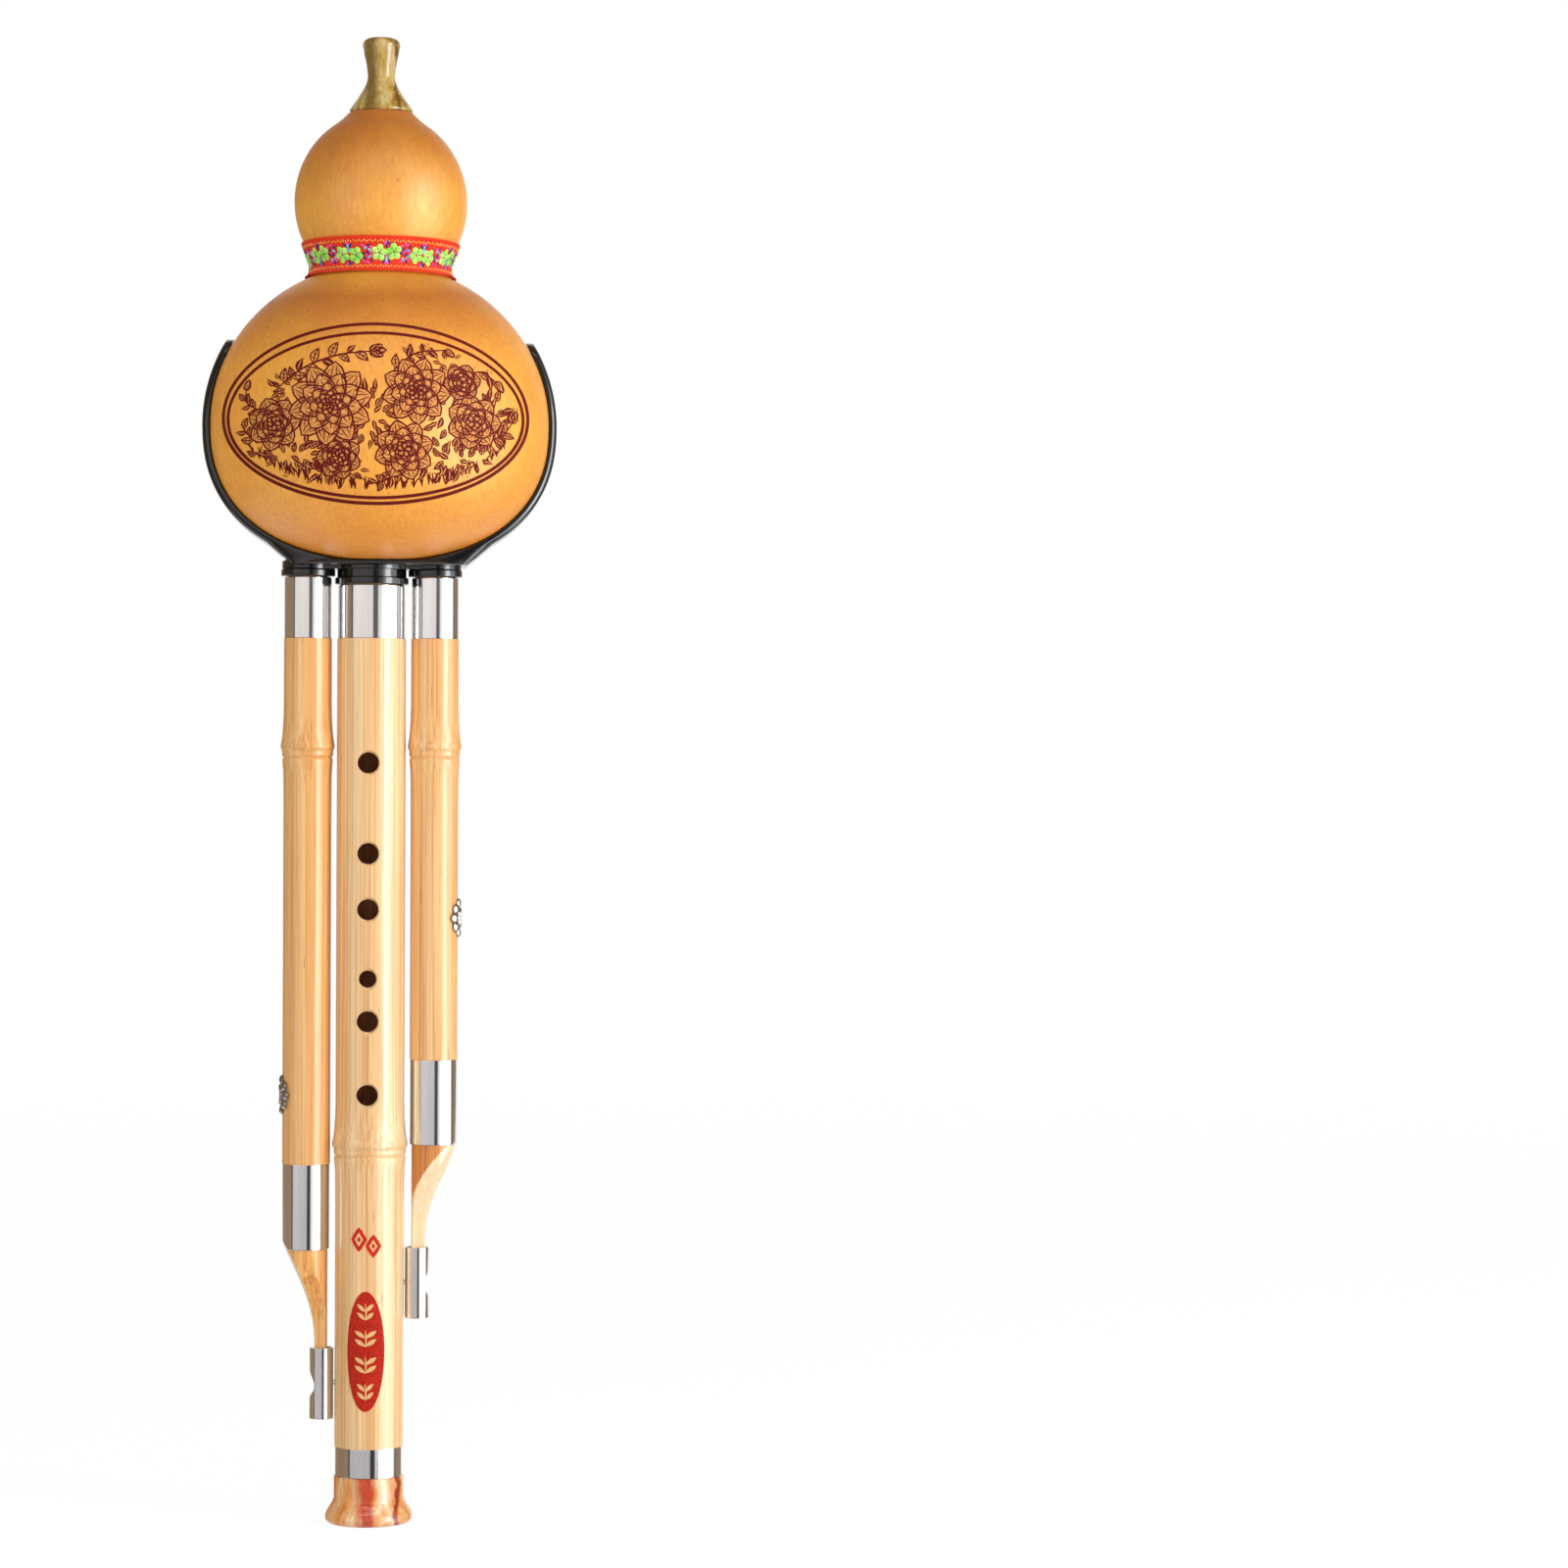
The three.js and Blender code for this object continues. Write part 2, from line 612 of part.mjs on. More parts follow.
// A reed tube, closed on top, with a flat on its front that carries the reed plate
// over a window into the bore. The tongue lies in the plate's slot.
function reedSet(prefix, boreRadius, wall, rise) {
  const tubeRadius = boreRadius - slidingGap
  const tubeBore = tubeRadius - wall
  const bottom = tenonTopZ - reedSeatDepth
  const top = tenonTopZ + rise
  const flatY = tubeRadius * reedFlatShare
  const plateHalf = Math.sqrt(tubeRadius ** 2 - flatY ** 2) - reedPlateEdge
  const plateTop = top - reedPlateDrop
  const plateBottom = plateTop - reedPlateLength
  const rootHalf = plateHalf * reedTongueRootShare
  const tipHalf = plateHalf * reedTongueTipShare
  const tongueTop = plateTop - reedPlateBorder
  const tongueBottom = plateBottom + reedPlateBorder

  const outline = [
    point(tubeBore, bottom),
    point(tubeRadius, bottom),
    point(tubeRadius, top),
    point(0, top),
    point(0, top - reedTubeCap),
    point(tubeBore, top - reedTubeCap),
  ]
  const flat = polygon([
    [-tubeRadius - cutOverrun, plateBottom - reedPlateEdge],
    [tubeRadius + cutOverrun, plateBottom - reedPlateEdge],
    [tubeRadius + cutOverrun, plateTop + reedPlateEdge],
    [-tubeRadius - cutOverrun, plateTop + reedPlateEdge],
  ])
  const slotHalf = rootHalf + slidingGap
  const window = polygon([
    [-slotHalf, tongueBottom - slidingGap],
    [slotHalf, tongueBottom - slidingGap],
    [slotHalf, tongueTop],
    [-slotHalf, tongueTop],
  ])
  const tube = turned(outline, pipeSegments)
    .subtract(pushedAlongY(flat, -tubeRadius - cutOverrun, -flatY))
    .subtract(pushedAlongY(window, -tubeRadius - cutOverrun, 0))

  const plateShape = polygon([
    [-plateHalf, plateBottom],
    [plateHalf, plateBottom],
    [plateHalf, plateTop],
    [-plateHalf, plateTop],
  ])
  const slot = polygon([
    [-tipHalf - slidingGap, tongueBottom - slidingGap],
    [tipHalf + slidingGap, tongueBottom - slidingGap],
    [rootHalf + slidingGap, tongueTop],
    [-rootHalf - slidingGap, tongueTop],
  ])
  const plate = pushedAlongY(plateShape, -flatY - reedPlateThickness, -flatY)
    .subtract(pushedAlongY(slot, -flatY - cutOverrun, cutOverrun))

  const tongueShape = polygon([
    [-tipHalf, tongueBottom],
    [tipHalf, tongueBottom],
    [rootHalf, tongueTop - slidingGap],
    [-rootHalf, tongueTop - slidingGap],
  ])
  const tongue = pushedAlongY(tongueShape, -flatY - reedPlateThickness, -flatY - reedPlateThickness
    + reedTongueThickness)
  return [
    piece(`${prefix}_reed_tube`, tube, brass),
    piece(`${prefix}_reed_plate`, plate, brass),
    piece(`${prefix}_reed_tongue`, tongue, brass),
  ]
}

const clipMiddleZ = scarfTopZ => scarfTopZ - clipDrop - clipHeight / 2

// What the slanted cut takes away from a drone's lower end. Inward is towards the melody pipe,
// and the cut is turned by some degrees from straight outward to the front.
function scarfCut(inward, scarfTopZ, scarfTurn, bottomZ) {
  const reach = droneRadius + cutOverrun
  const width = tongueInnerX + scarfStartX
  const control = scarfControlShares.map(([across, down]) => [
    inward * (width * across - scarfStartX),
    scarfTopZ - scarfLength * down,
  ])
  const shape = new THREE.Shape()
  shape.moveTo(-inward * reach, scarfTopZ)
  shape.lineTo(-inward * scarfStartX, scarfTopZ)
  shape.bezierCurveTo(...control[0], ...control[1], inward * tongueInnerX, scarfTopZ - scarfLength)
  shape.lineTo(inward * tongueInnerX, bottomZ - cutOverrun)
  shape.lineTo(-inward * reach, bottomZ - cutOverrun)
  return pushedAlongY(shape, -reach, reach).rotate([0, 0, inward * scarfTurn])
}

// A drone pipe with its ferrules, tail and vent, on its own axis.
function drone(name, side, scarfTopZ, scarfTurn, ferruleDrop, ventRise) {
  const group = new THREE.Group()
  const inward = -side
  const seat = droneFerruleRadius - ferruleWall - gluedGap
  const lowFerruleZ = scarfTopZ - ferruleDrop
  const lowFerruleTopZ = lowFerruleZ + lowerFerruleLength
  const pipeBottomZ = lowFerruleTopZ - lowerFerruleHold
  const tailBottomZ = scarfTopZ - clipDrop - clipHeight + tongueEndGap
  const ventZ = scarfTopZ + ventRise

  const pipeOutline = [
    point(droneBoreRadius, pipeBottomZ),
    point(seat, pipeBottomZ),
    point(seat, lowFerruleTopZ),
    ...bambooOutline(droneRadius, lowFerruleTopZ, ferruleEdgeZ, ferruleEdgeZ - droneNodeDrop, droneNodeBulge),
    point(seat, ferruleEdgeZ),
    point(seat, droneFerruleTopZ),
    point(droneTenonRadius, droneFerruleTopZ),
    point(droneTenonRadius, tenonTopZ),
    point(droneBoreRadius, tenonTopZ),
  ]
  const vent = drill(ventRadius, droneRadius, 'x').translate([side * droneRadius, 0, ventZ])
  const pipe = turned(pipeOutline, pipeSegments).subtract(vent)

  const cut = scarfCut(inward, scarfTopZ, scarfTurn, tailBottomZ)
  const lowerFerrule = ferrule(droneFerruleRadius, lowFerruleZ, lowFerruleTopZ).subtract(cut)
  const plug = rod(seat, lowFerruleZ, pipeBottomZ - slidingGap)
  const narrowTopZ = scarfTopZ - clipDrop + tongueTaperLength
  const narrow = polygon([
    [-tongueHalfWidth, tailBottomZ - cutOverrun],
    [tongueHalfWidth, tailBottomZ - cutOverrun],
    [tongueHalfWidth, scarfTopZ - clipDrop + clipStandOff],
    [tailRadius, narrowTopZ],
    [tailRadius, lowFerruleTopZ],
    [-tailRadius, lowFerruleTopZ],
    [-tailRadius, narrowTopZ],
    [-tongueHalfWidth, scarfTopZ - clipDrop + clipStandOff],
  ])
  const tail = rod(tailRadius, tailBottomZ, lowFerruleZ)
    .add(plug)
    .subtract(cut)
    .intersect(pushedAlongX(narrow, -tailRadius, tailRadius))

  const petals = new THREE.Shape()
  const rimSteps = rosettePetals * petalSteps
  for (let i = 0; i < rimSteps; i++) {
    const angle = i / rimSteps * Math.PI * 2
    const notch = Math.abs(Math.cos(angle * rosettePetals / 2))
    const radius = rosetteRadius - rosettePetalDepth * (1 - notch)
    const [y, z] = [radius * Math.cos(angle), ventZ + radius * Math.sin(angle)]
    if (i === 0) petals.moveTo(y, z)
    else petals.lineTo(y, z)
  }
  const outer = droneRadius + gluedGap + rosetteHeight
  const shell = ring(droneRadius + gluedGap, outer, ventZ - 2 * rosetteRadius, ventZ + 2 * rosetteRadius)
  const rosette = shell
    .intersect(pushedAlongX(petals, ...(side < 0 ? [-outer - cutOverrun, 0] : [0, outer + cutOverrun])))
    .subtract(drill(ventRadius, 2 * outer, 'x').translate([side * outer, 0, ventZ]))

  group.add(
    piece(`${name}_drone_pipe`, pipe, paleBamboo),
    piece(`${name}_top_ferrule`, ferrule(droneFerruleRadius, ferruleEdgeZ, droneFerruleTopZ), chrome),
    piece(`${name}_lower_ferrule`, lowerFerrule, chrome),
    piece(`${name}_tail`, tail, tailBamboo),
    piece(`${name}_rosette`, rosette, chrome),
    corkSleeve(`${name}_cork`, droneTenonRadius, droneSocketBore, droneRimZ),
    ...reedSet(name, droneBoreRadius, droneReedTubeWall, droneReedRise),
  )
  group.position.x = side < 0 ? droneX.left : droneX.right
  return group
}

// A spring clip of sheet metal beside the melody pipe. The sheet goes round the front,
// and the part that the turning tongue passes, at the back, is left open.
function clip(name, side, scarfTopZ) {
  const centreX = side * (mainRadius + clipStandOff + clipRadius)
  const topZ = scarfTopZ - clipDrop
  const bottomZ = topZ - clipHeight
  const droneAxisX = side * pipePitch
  let solid = ring(clipRadius - clipWall, clipRadius, bottomZ, topZ, pipeSegments).translate([centreX, 0, 0])

  const sweepOuter = tailRadius + slidingGap
  const sweepInner = tongueInnerX - slidingGap
  const sweep = ring(sweepInner, sweepOuter, bottomZ - cutOverrun, topZ + cutOverrun)
    .translate([droneAxisX, 0, 0])
  const reach = sweepOuter + clipRadius
  const behind = polygon([
    [droneAxisX - reach, bottomZ - cutOverrun],
    [droneAxisX + reach, bottomZ - cutOverrun],
    [droneAxisX + reach, topZ + cutOverrun],
    [droneAxisX - reach, topZ + cutOverrun],
  ])
  solid = solid.subtract(sweep.intersect(pushedAlongY(behind, 0, reach)))

  const outerX = Math.abs(centreX) + clipRadius
  const [low, high] = clipNotchShares.map(share => bottomZ + clipHeight * share)
  const notch = new THREE.Shape()
  notch.moveTo(side * (outerX + cutOverrun), low)
  notch.lineTo(side * (outerX - clipNotchDepth), low)
  notch.quadraticCurveTo(side * (outerX - clipNotchDepth), high, side * (outerX + clipNotchDepth), high)
  notch.lineTo(side * (outerX + cutOverrun), high)
  solid = solid.subtract(pushedAlongY(notch, -clipRadius, clipRadius))

  const rivetZ = clipMiddleZ(scarfTopZ)
  const rivetHole = drill(rivetShankRadius + gluedGap, clipRadius, 'x', rivetSegments)
  solid = solid.subtract(rivetHole.translate([side * mainRadius, 0, rivetZ]))
  return piece(name, solid, chrome)
}

// The rivet that holds a clip: its head inside the sleeve and its shank in the pipe's wall.
function clipRivet(name, side, scarfTopZ) {
  const z = clipMiddleZ(scarfTopZ)
  const hollow = Math.sqrt((clipRadius - clipWall) ** 2 - rivetHeadRadius ** 2)
  const headX = mainRadius + clipStandOff + clipRadius - hollow + slidingGap
  const shankLength = headX + rivetHeadHeight / 2 - mainRadius + rivetBite
  const shank = drill(rivetShankRadius, shankLength, 'x', rivetSegments)
    .translate([side * (mainRadius - rivetBite + shankLength / 2), 0, z])
  const head = drill(rivetHeadRadius, rivetHeadHeight, 'x', rivetSegments)
    .translate([side * (headX + rivetHeadHeight / 2), 0, z])
  return piece(name, shank.add(head), chrome)
}

function mouthpiece() {
  const flangeZ = gourdTopZ
  const topZ = flangeZ + mouthpieceHeight
  const tenonZ = flangeZ - mouthpieceTenonLength
  const stem = mouthpieceOutlineShares.map(([across, up]) => point(
    flangeRadius * across,
    flangeZ + mouthpieceHeight * up,
  ))
  const lip = new THREE.EllipseCurve(
    lipRadius - lipHeight / 2,
    topZ - lipHeight / 2,
    lipHeight / 2,
    lipHeight / 2,
    -Math.PI / 2,
    Math.PI / 2,
  )
  const outside = new THREE.SplineCurve([point(flangeRadius, flangeZ + flangeEdge), ...stem]).getPoints(2 * profileSteps)
  const outline = [
    point(mouthpieceBoreRadius, tenonZ),
    point(mouthpieceTenonRadius - tenonEdge, tenonZ),
    point(mouthpieceTenonRadius, tenonZ + tenonEdge),
    point(mouthpieceTenonRadius, flangeZ),
    point(flangeRadius - flangeEdge / 2, flangeZ),
    ...outside,
    ...lip.getPoints(profileSteps),
    point(mouthpieceBoreRadius, topZ - tenonEdge),
  ]
  return piece('mouthpiece', turned(outline, pipeSegments), amberResin)
}

const hulusi = new THREE.Group()
const neck = mainRimRadius - slidingGap - rimEdge
hulusi.add(gourd(), waistRibbon(), cradle(), mouthpiece())

const mainSocket = socket(
  'main_socket',
  mainSocketBore,
  mainRimRadius,
  mainRimZ,
  mainRimHeight,
  neck,
  mainBoreRadius + slidingGap,
)
mainSocket.position.x = mainPipeX
hulusi.add(mainSocket)
for (const side of ['left', 'right']) {
  const droneSocket = socket(
    `${side}_socket`,
    droneSocketBore,
    droneRimRadius,
    droneRimZ,
    droneRimHeight,
    droneRimRadius,
    droneBoreRadius + slidingGap,
  )
  droneSocket.position.x = droneX[side]
  hulusi.add(droneSocket)
}

const melody = new THREE.Group()
melody.add(
  mainPipe(),
  bell(),
  piece('main_bottom_ferrule', ferrule(mainFerruleRadius, bellHeight, mainShoulderZ), chrome),
  piece('main_top_ferrule', ferrule(mainFerruleRadius, ferruleEdgeZ, mainFerruleTopZ), chrome),
  corkSleeve('main_cork', mainTenonRadius, mainSocketBore, mainRimZ),
  ...reedSet('main', mainBoreRadius, reedTubeWall, mainReedRise),
  clip('left_clip', -1, leftScarfTopZ),
  clip('right_clip', 1, rightScarfTopZ),
  clipRivet('left_clip_rivet', -1, leftScarfTopZ),
  clipRivet('right_clip_rivet', 1, rightScarfTopZ),
)
melody.position.x = mainPipeX
hulusi.add(melody)

hulusi.add(drone('left', -1, leftScarfTopZ, leftScarfTurn, leftFerruleDrop, leftVentRise))
hulusi.add(drone('right', 1, rightScarfTopZ, rightScarfTurn, rightFerruleDrop, rightVentRise))

export default hulusi
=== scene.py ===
import bisect
import math
import random

import bmesh
import bpy
from mathutils import Matrix, Vector


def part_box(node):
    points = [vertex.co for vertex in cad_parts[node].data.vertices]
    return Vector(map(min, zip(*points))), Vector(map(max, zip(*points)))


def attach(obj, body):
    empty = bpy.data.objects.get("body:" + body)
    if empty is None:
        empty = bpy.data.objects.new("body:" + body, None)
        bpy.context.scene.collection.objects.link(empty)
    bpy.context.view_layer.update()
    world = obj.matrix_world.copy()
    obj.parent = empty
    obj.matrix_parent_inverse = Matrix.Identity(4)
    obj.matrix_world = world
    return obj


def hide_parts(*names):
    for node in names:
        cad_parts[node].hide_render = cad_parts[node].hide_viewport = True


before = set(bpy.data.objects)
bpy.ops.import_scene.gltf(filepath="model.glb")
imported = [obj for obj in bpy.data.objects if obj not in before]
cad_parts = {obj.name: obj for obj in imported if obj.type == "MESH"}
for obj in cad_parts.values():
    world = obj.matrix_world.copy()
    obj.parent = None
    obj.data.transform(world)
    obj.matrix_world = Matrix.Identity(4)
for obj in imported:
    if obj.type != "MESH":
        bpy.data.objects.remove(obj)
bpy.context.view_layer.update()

# Lengths are millimetres in the row frame until a mesh is made.
MM = 0.001
PIPE_STEPS = 96
SMOOTH_ANGLE = math.radians(32)
MERGE = 0.0005
rng = random.Random(7)


def low(node, axis):
    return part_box(node)[0][axis] / MM


def high(node, axis):
    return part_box(node)[1][axis] / MM


def middle(node, axis):
    return (low(node, axis) + high(node, axis)) / 2


def ends(node):
    """The heights of a node's lower and upper end."""
    return low(node, 2), high(node, 2)


def radius(node):
    return (high(node, 1) - low(node, 1)) / 2


# Colours and node trees

def rgb(text):
    """A six-figure sRGB colour as linear red, green, blue, alpha."""
    values = [int(text[i:i + 2], 16) / 255 for i in (0, 2, 4)]
    linear = [v / 12.92 if v <= 0.04045 else ((v + 0.055) / 1.055) ** 2.4 for v in values]
    return (*linear, 1.0)


class Nodes:
    """A node tree and the few kinds of node that the finishes and the studio are made of."""

    def __init__(self, owner):
        owner.use_nodes = True
        self.tree = owner.node_tree

    def add(self, kind, output, inputs, **settings):
        """One output of a new node. An input is linked if its value is a socket, and set to it otherwise."""
        node = self.tree.nodes.new(f"ShaderNode{kind}")
        for name, value in settings.items():
            setattr(node, name, value)
        for socket, value in inputs.items():
            if isinstance(value, bpy.types.NodeSocket):
                self.tree.links.new(value, node.inputs[socket])
            else:
                node.inputs[socket].default_value = value
        return node.outputs[output]

    def maths(self, operation, a, b=0.0, c=0.0):
        return self.add("Math", "Value", {0: a, 1: b, 2: c}, operation=operation)

    def spread(self, value, from_low, from_high, to_low=0.0, to_high=1.0):
        return self.add("MapRange", "Result", {0: value, 1: from_low, 2: from_high, 3: to_low, 4: to_high})

    def mix(self, factor, a, b, blend="MIX"):
        return self.add("Mix", 2, {0: factor, 6: a, 7: b}, data_type="RGBA", blend_type=blend)


class Finish(Nodes):
    """A material for the part, with its textures in the piece's own space."""

    def __init__(self, name, roughness, metallic=0.0, coat=0.0, coat_roughness=0.1, specular=0.5, sheen=0.0):
        self.material = bpy.data.materials.new(name)
        super().__init__(self.material)
        self.shader = self.tree.nodes["Principled BSDF"]
        for socket, value in (
            ("Roughness", roughness), ("Metallic", metallic), ("Coat Weight", coat),
            ("Coat Roughness", coat_roughness), ("Specular IOR Level", specular), ("Sheen Weight", sheen),
        ):
            self.shader.inputs[socket].default_value = value
        self.places = self.tree.nodes.new("ShaderNodeTexCoord").outputs

    def stretched(self, stretch, offset=(0, 0, 0)):
        inputs = {"Vector": self.places["Object"], "Location": offset, "Scale": stretch}
        return self.add("Mapping", "Vector", inputs)

    def noise(self, stretch, detail=4.0, rough=0.55, warp=0.0, offset=(0, 0, 0)):
        return self.add("TexNoise", "Fac", {
            "Vector": self.stretched(stretch, offset),
            "Scale": 1.0, "Detail": detail, "Roughness": rough, "Distortion": warp,
        })

    def cells(self, stretch):
        return self.add("TexVoronoi", "Distance", {"Vector": self.stretched(stretch), "Scale": 1.0})

    def axis(self, name, source="Object"):
        return self.add("SeparateXYZ", name, {"Vector": self.places[source]})

    def ramp(self, value, stops):
        """Colours by value. The first two stops move the ramp's own two, and the others are added."""
        node = self.tree.nodes.new("ShaderNodeValToRGB")
        band = node.color_ramp
        for i, (place, colour) in enumerate(stops):
            stop = band.elements[i] if i < 2 else band.elements.new(place)
            stop.position = place
            stop.color = rgb(colour)
        self.tree.links.new(value, node.inputs["Fac"])
        return node.outputs["Color"]

    def stain(self, colour, strength, pattern, tint, start, end):
        """The colour multiplied by the tint below the pattern's start, and left alone above its end."""
        shade = self.ramp(pattern, [(start, tint), (end, "ffffff")])
        return self.mix(strength, colour, shade, "MULTIPLY")

    def bump(self, height, depth, strength, under=None):
        """Relief of a real depth in millimetres, over the relief that lies under it."""
        inputs = {"Strength": strength, "Distance": depth * MM, "Height": height}
        if under is not None:
            inputs["Normal"] = under
        return self.add("Bump", "Normal", inputs)

    def paint(self, colour, normal, roughness=None):
        self.tree.links.new(colour, self.shader.inputs["Base Color"])
        self.tree.links.new(normal, self.shader.inputs["Normal"])
        if roughness is not None:
            self.tree.links.new(roughness, self.shader.inputs["Roughness"])
        return self.material


def gourd_finish():
    """Lacquered ochre shell, finely mottled along its height, with painted shade that darkens it towards both
    ends of each bulb.
    """
    f = Finish("gourd_shell", roughness=0.5, coat=0.5, coat_roughness=0.48, specular=0.6)
    waver = f.maths("MULTIPLY_ADD", f.noise((16, 16, 12), detail=3), 0.022, f.axis("Z"))
    # Painted shade: the ramp's darker stops at the bottom, the waist and the top stand in for shade on the
    # rounded bulbs.
    colour = f.ramp(f.spread(waver, 0.29, 0.44), [
        (0.0, "dc800c"), (1.0, "b46a0a"), (0.12, "f89c18"), (0.26, "faaa30"), (0.46, "f7a62c"),
        (0.60, "be720a"), (0.66, "f0a834"), (0.80, "f1a832"), (0.92, "c27a0c"),
    ])
    mottle = f.noise((950, 950, 170), detail=5, rough=0.65)
    colour = f.stain(colour, 0.45, mottle, "d6a05a", 0.30, 0.62)
    patches = f.noise((42, 42, 30), detail=5, rough=0.6)
    colour = f.stain(colour, 0.35, patches, "ecc48c", 0.36, 0.62)
    grain = f.ramp(f.noise((520, 520, 36), detail=3), [(0.42, "ffffff"), (0.70, "fff0c8")])
    colour = f.mix(0.12, colour, grain, "OVERLAY")
    colour = f.stain(colour, 0.7, f.cells((210, 210, 160)), "6b3a14", 0.035, 0.075)
    relief = f.bump(mottle, 0.05, 0.5)
    relief = f.bump(f.noise((70, 70, 50), detail=2), 0.25, 0.35, under=relief)
    gloss = f.spread(f.noise((120, 120, 60), detail=3), 0.3, 0.7, 0.42, 0.56)
    return f.paint(colour, relief, gloss)


CUT_PALE, CUT_DEEP = "ffecc8", "f6d29a"


def bamboo_finish(name, pale, mid, deep, line, fleck, bare=None):
    """Lacquered bamboo: long fibres, broad soft streaks and a few dark flecks along the pipe.

    Bare gives the places, in mm, between which the skin has been cut away in a curve: lower and upper z, the
    axis and the radius.
    """
    f = Finish(name, roughness=0.38, coat=0.35, coat_roughness=0.18)
    broad = f.noise((150, 150, 2.2), detail=3)
    colour = f.ramp(broad, [(0.28, deep), (0.72, pale), (0.5, mid)])
    fine = f.noise((1500, 1500, 9), detail=5, rough=0.6)
    colour = f.stain(colour, 0.7, fine, line, 0.34, 0.58)
    thread = f.noise((4200, 4200, 24), detail=2)
    colour = f.stain(colour, 0.35, thread, line, 0.36, 0.6)
    flecks = f.noise((900, 900, 60), detail=2)
    colour = f.stain(colour, 0.6, flecks, fleck, 0.24, 0.30)
    if bare:
        low_z, high_z, axis_x, reach = (length * MM for length in bare)
        rise = f.spread(f.axis("Z"), low_z, high_z)
        border = f.maths("MULTIPLY_ADD", f.maths("MULTIPLY", rise, rise), 2 * reach, axis_x - reach)
        beyond = f.maths("SUBTRACT", f.axis("X"), border)
        wood = f.ramp(fine, [(0.32, CUT_DEEP), (0.66, CUT_PALE)])
        soft_edge = 0.2 * MM
        colour = f.mix(f.spread(beyond, -soft_edge, soft_edge), colour, wood)
    relief = f.bump(fine, 0.06, 0.45)
    relief = f.bump(thread, 0.03, 0.4, under=relief)
    return f.paint(colour, relief, f.spread(fine, 0.3, 0.7, 0.44, 0.32))


def cut_bamboo_finish(name, pale, deep):
    """The cut face of bamboo: open pores in rows, duller than the skin."""
    f = Finish(name, roughness=0.6)
    fine = f.noise((900, 900, 30), detail=5, rough=0.65)
    colour = f.ramp(fine, [(0.32, deep), (0.66, pale)])
    colour = f.stain(colour, 0.4, f.cells((1300, 1300, 260)), "8a5a2c", 0.10, 0.26)
    return f.paint(colour, f.bump(fine, 0.12, 0.6))


def hole_finish():
    """The walls of bores and drilled holes: coarse grain, dull."""
    f = Finish("bore_shade", roughness=0.85)
    grain = f.noise((700, 700, 60), detail=4)
    return f.paint(f.ramp(grain, [(0.3, "c08658"), (0.7, "e8b888")]), f.bump(grain, 0.1, 0.5))


def chrome_finish(name, dark, light, smooth, rough):
    """Plated metal: faint smears, and fine rings left by polishing."""
    f = Finish(name, roughness=smooth, metallic=1.0)
    smear = f.noise((260, 260, 18), detail=4)
    rings = f.noise((6, 6, 5200), detail=2)
    colour = f.ramp(smear, [(0.25, dark), (0.75, light)])
    return f.paint(colour, f.bump(rings, 0.0015, 0.2), f.spread(smear, 0.25, 0.75, smooth, rough))


def black_finish():
    """Moulded glossy resin, very slightly wavy and unevenly polished."""
    f = Finish("black_gloss", roughness=0.16, coat=0.35, coat_roughness=0.12, specular=0.45)
    colour = f.ramp(f.noise((60, 60, 60), detail=3), [(0.3, "070708"), (0.7, "101012")])
    gloss = f.spread(f.noise((200, 200, 200), detail=3), 0.3, 0.7, 0.13, 0.2)
    return f.paint(colour, f.bump(f.noise((90, 90, 90), detail=2), 0.03, 0.2), gloss)


def horn_finish(name, offset, stretch, stops, streaks):
    """Marbled horn-look resin: folded streaks up the turned piece, and a few that run right through it.

    Each of the few is a place across the piece, a width in mm and a colour.
    """
    f = Finish(name, roughness=0.2, coat=0.25, coat_roughness=0.08, specular=0.4)
    colour = f.ramp(f.noise(stretch, detail=6, rough=0.6, warp=1.4, offset=offset), stops)
    sway = 5.0
    for place, width, tint in streaks:
        bend = f.maths("MULTIPLY_ADD", f.noise((90, 90, 120), detail=3), sway * MM, f.axis("X"))
        off = f.maths("ABSOLUTE", f.maths("SUBTRACT", bend, (place + sway / 2) * MM))
        share = f.spread(off, width * 0.25 * MM, width * 0.75 * MM, 0.9, 0.0)
        colour = f.mix(share, colour, rgb(tint))
    hair = f.noise((1300, 1300, 130), detail=4)
    colour = f.stain(colour, 0.3, hair, "7a5a2a", 0.35, 0.6)
    return f.paint(colour, f.bump(hair, 0.02, 0.3))


def cork_finish():
    """Pressed cork: round grains with a few dark pits."""
    f = Finish("cork_sheet", roughness=0.9)
    grains = f.cells((900, 900, 900))
    colour = f.ramp(grains, [(0.05, "8a5b34"), (0.45, "c79a68")])
    colour = f.stain(colour, 0.8, f.cells((330, 330, 330)), "5b3a20", 0.06, 0.14)
    return f.paint(colour, f.bump(grains, 0.2, 0.7))


def brass_finish(name, light, dark, lines):
    """Brass with the lines of its drawing or rolling, and a little tarnish."""
    f = Finish(name, roughness=0.3, metallic=1.0)
    drawn = f.noise(lines, detail=4)
    tarnish = f.noise((130, 130, 90), detail=5, rough=0.65)
    colour = f.ramp(tarnish, [(0.3, dark), (0.7, light)])
    return f.paint(colour, f.bump(drawn, 0.02, 0.4), f.spread(drawn, 0.3, 0.7, 0.2, 0.42))


WARP_COUNT = 190
WEFT_COUNT = 26


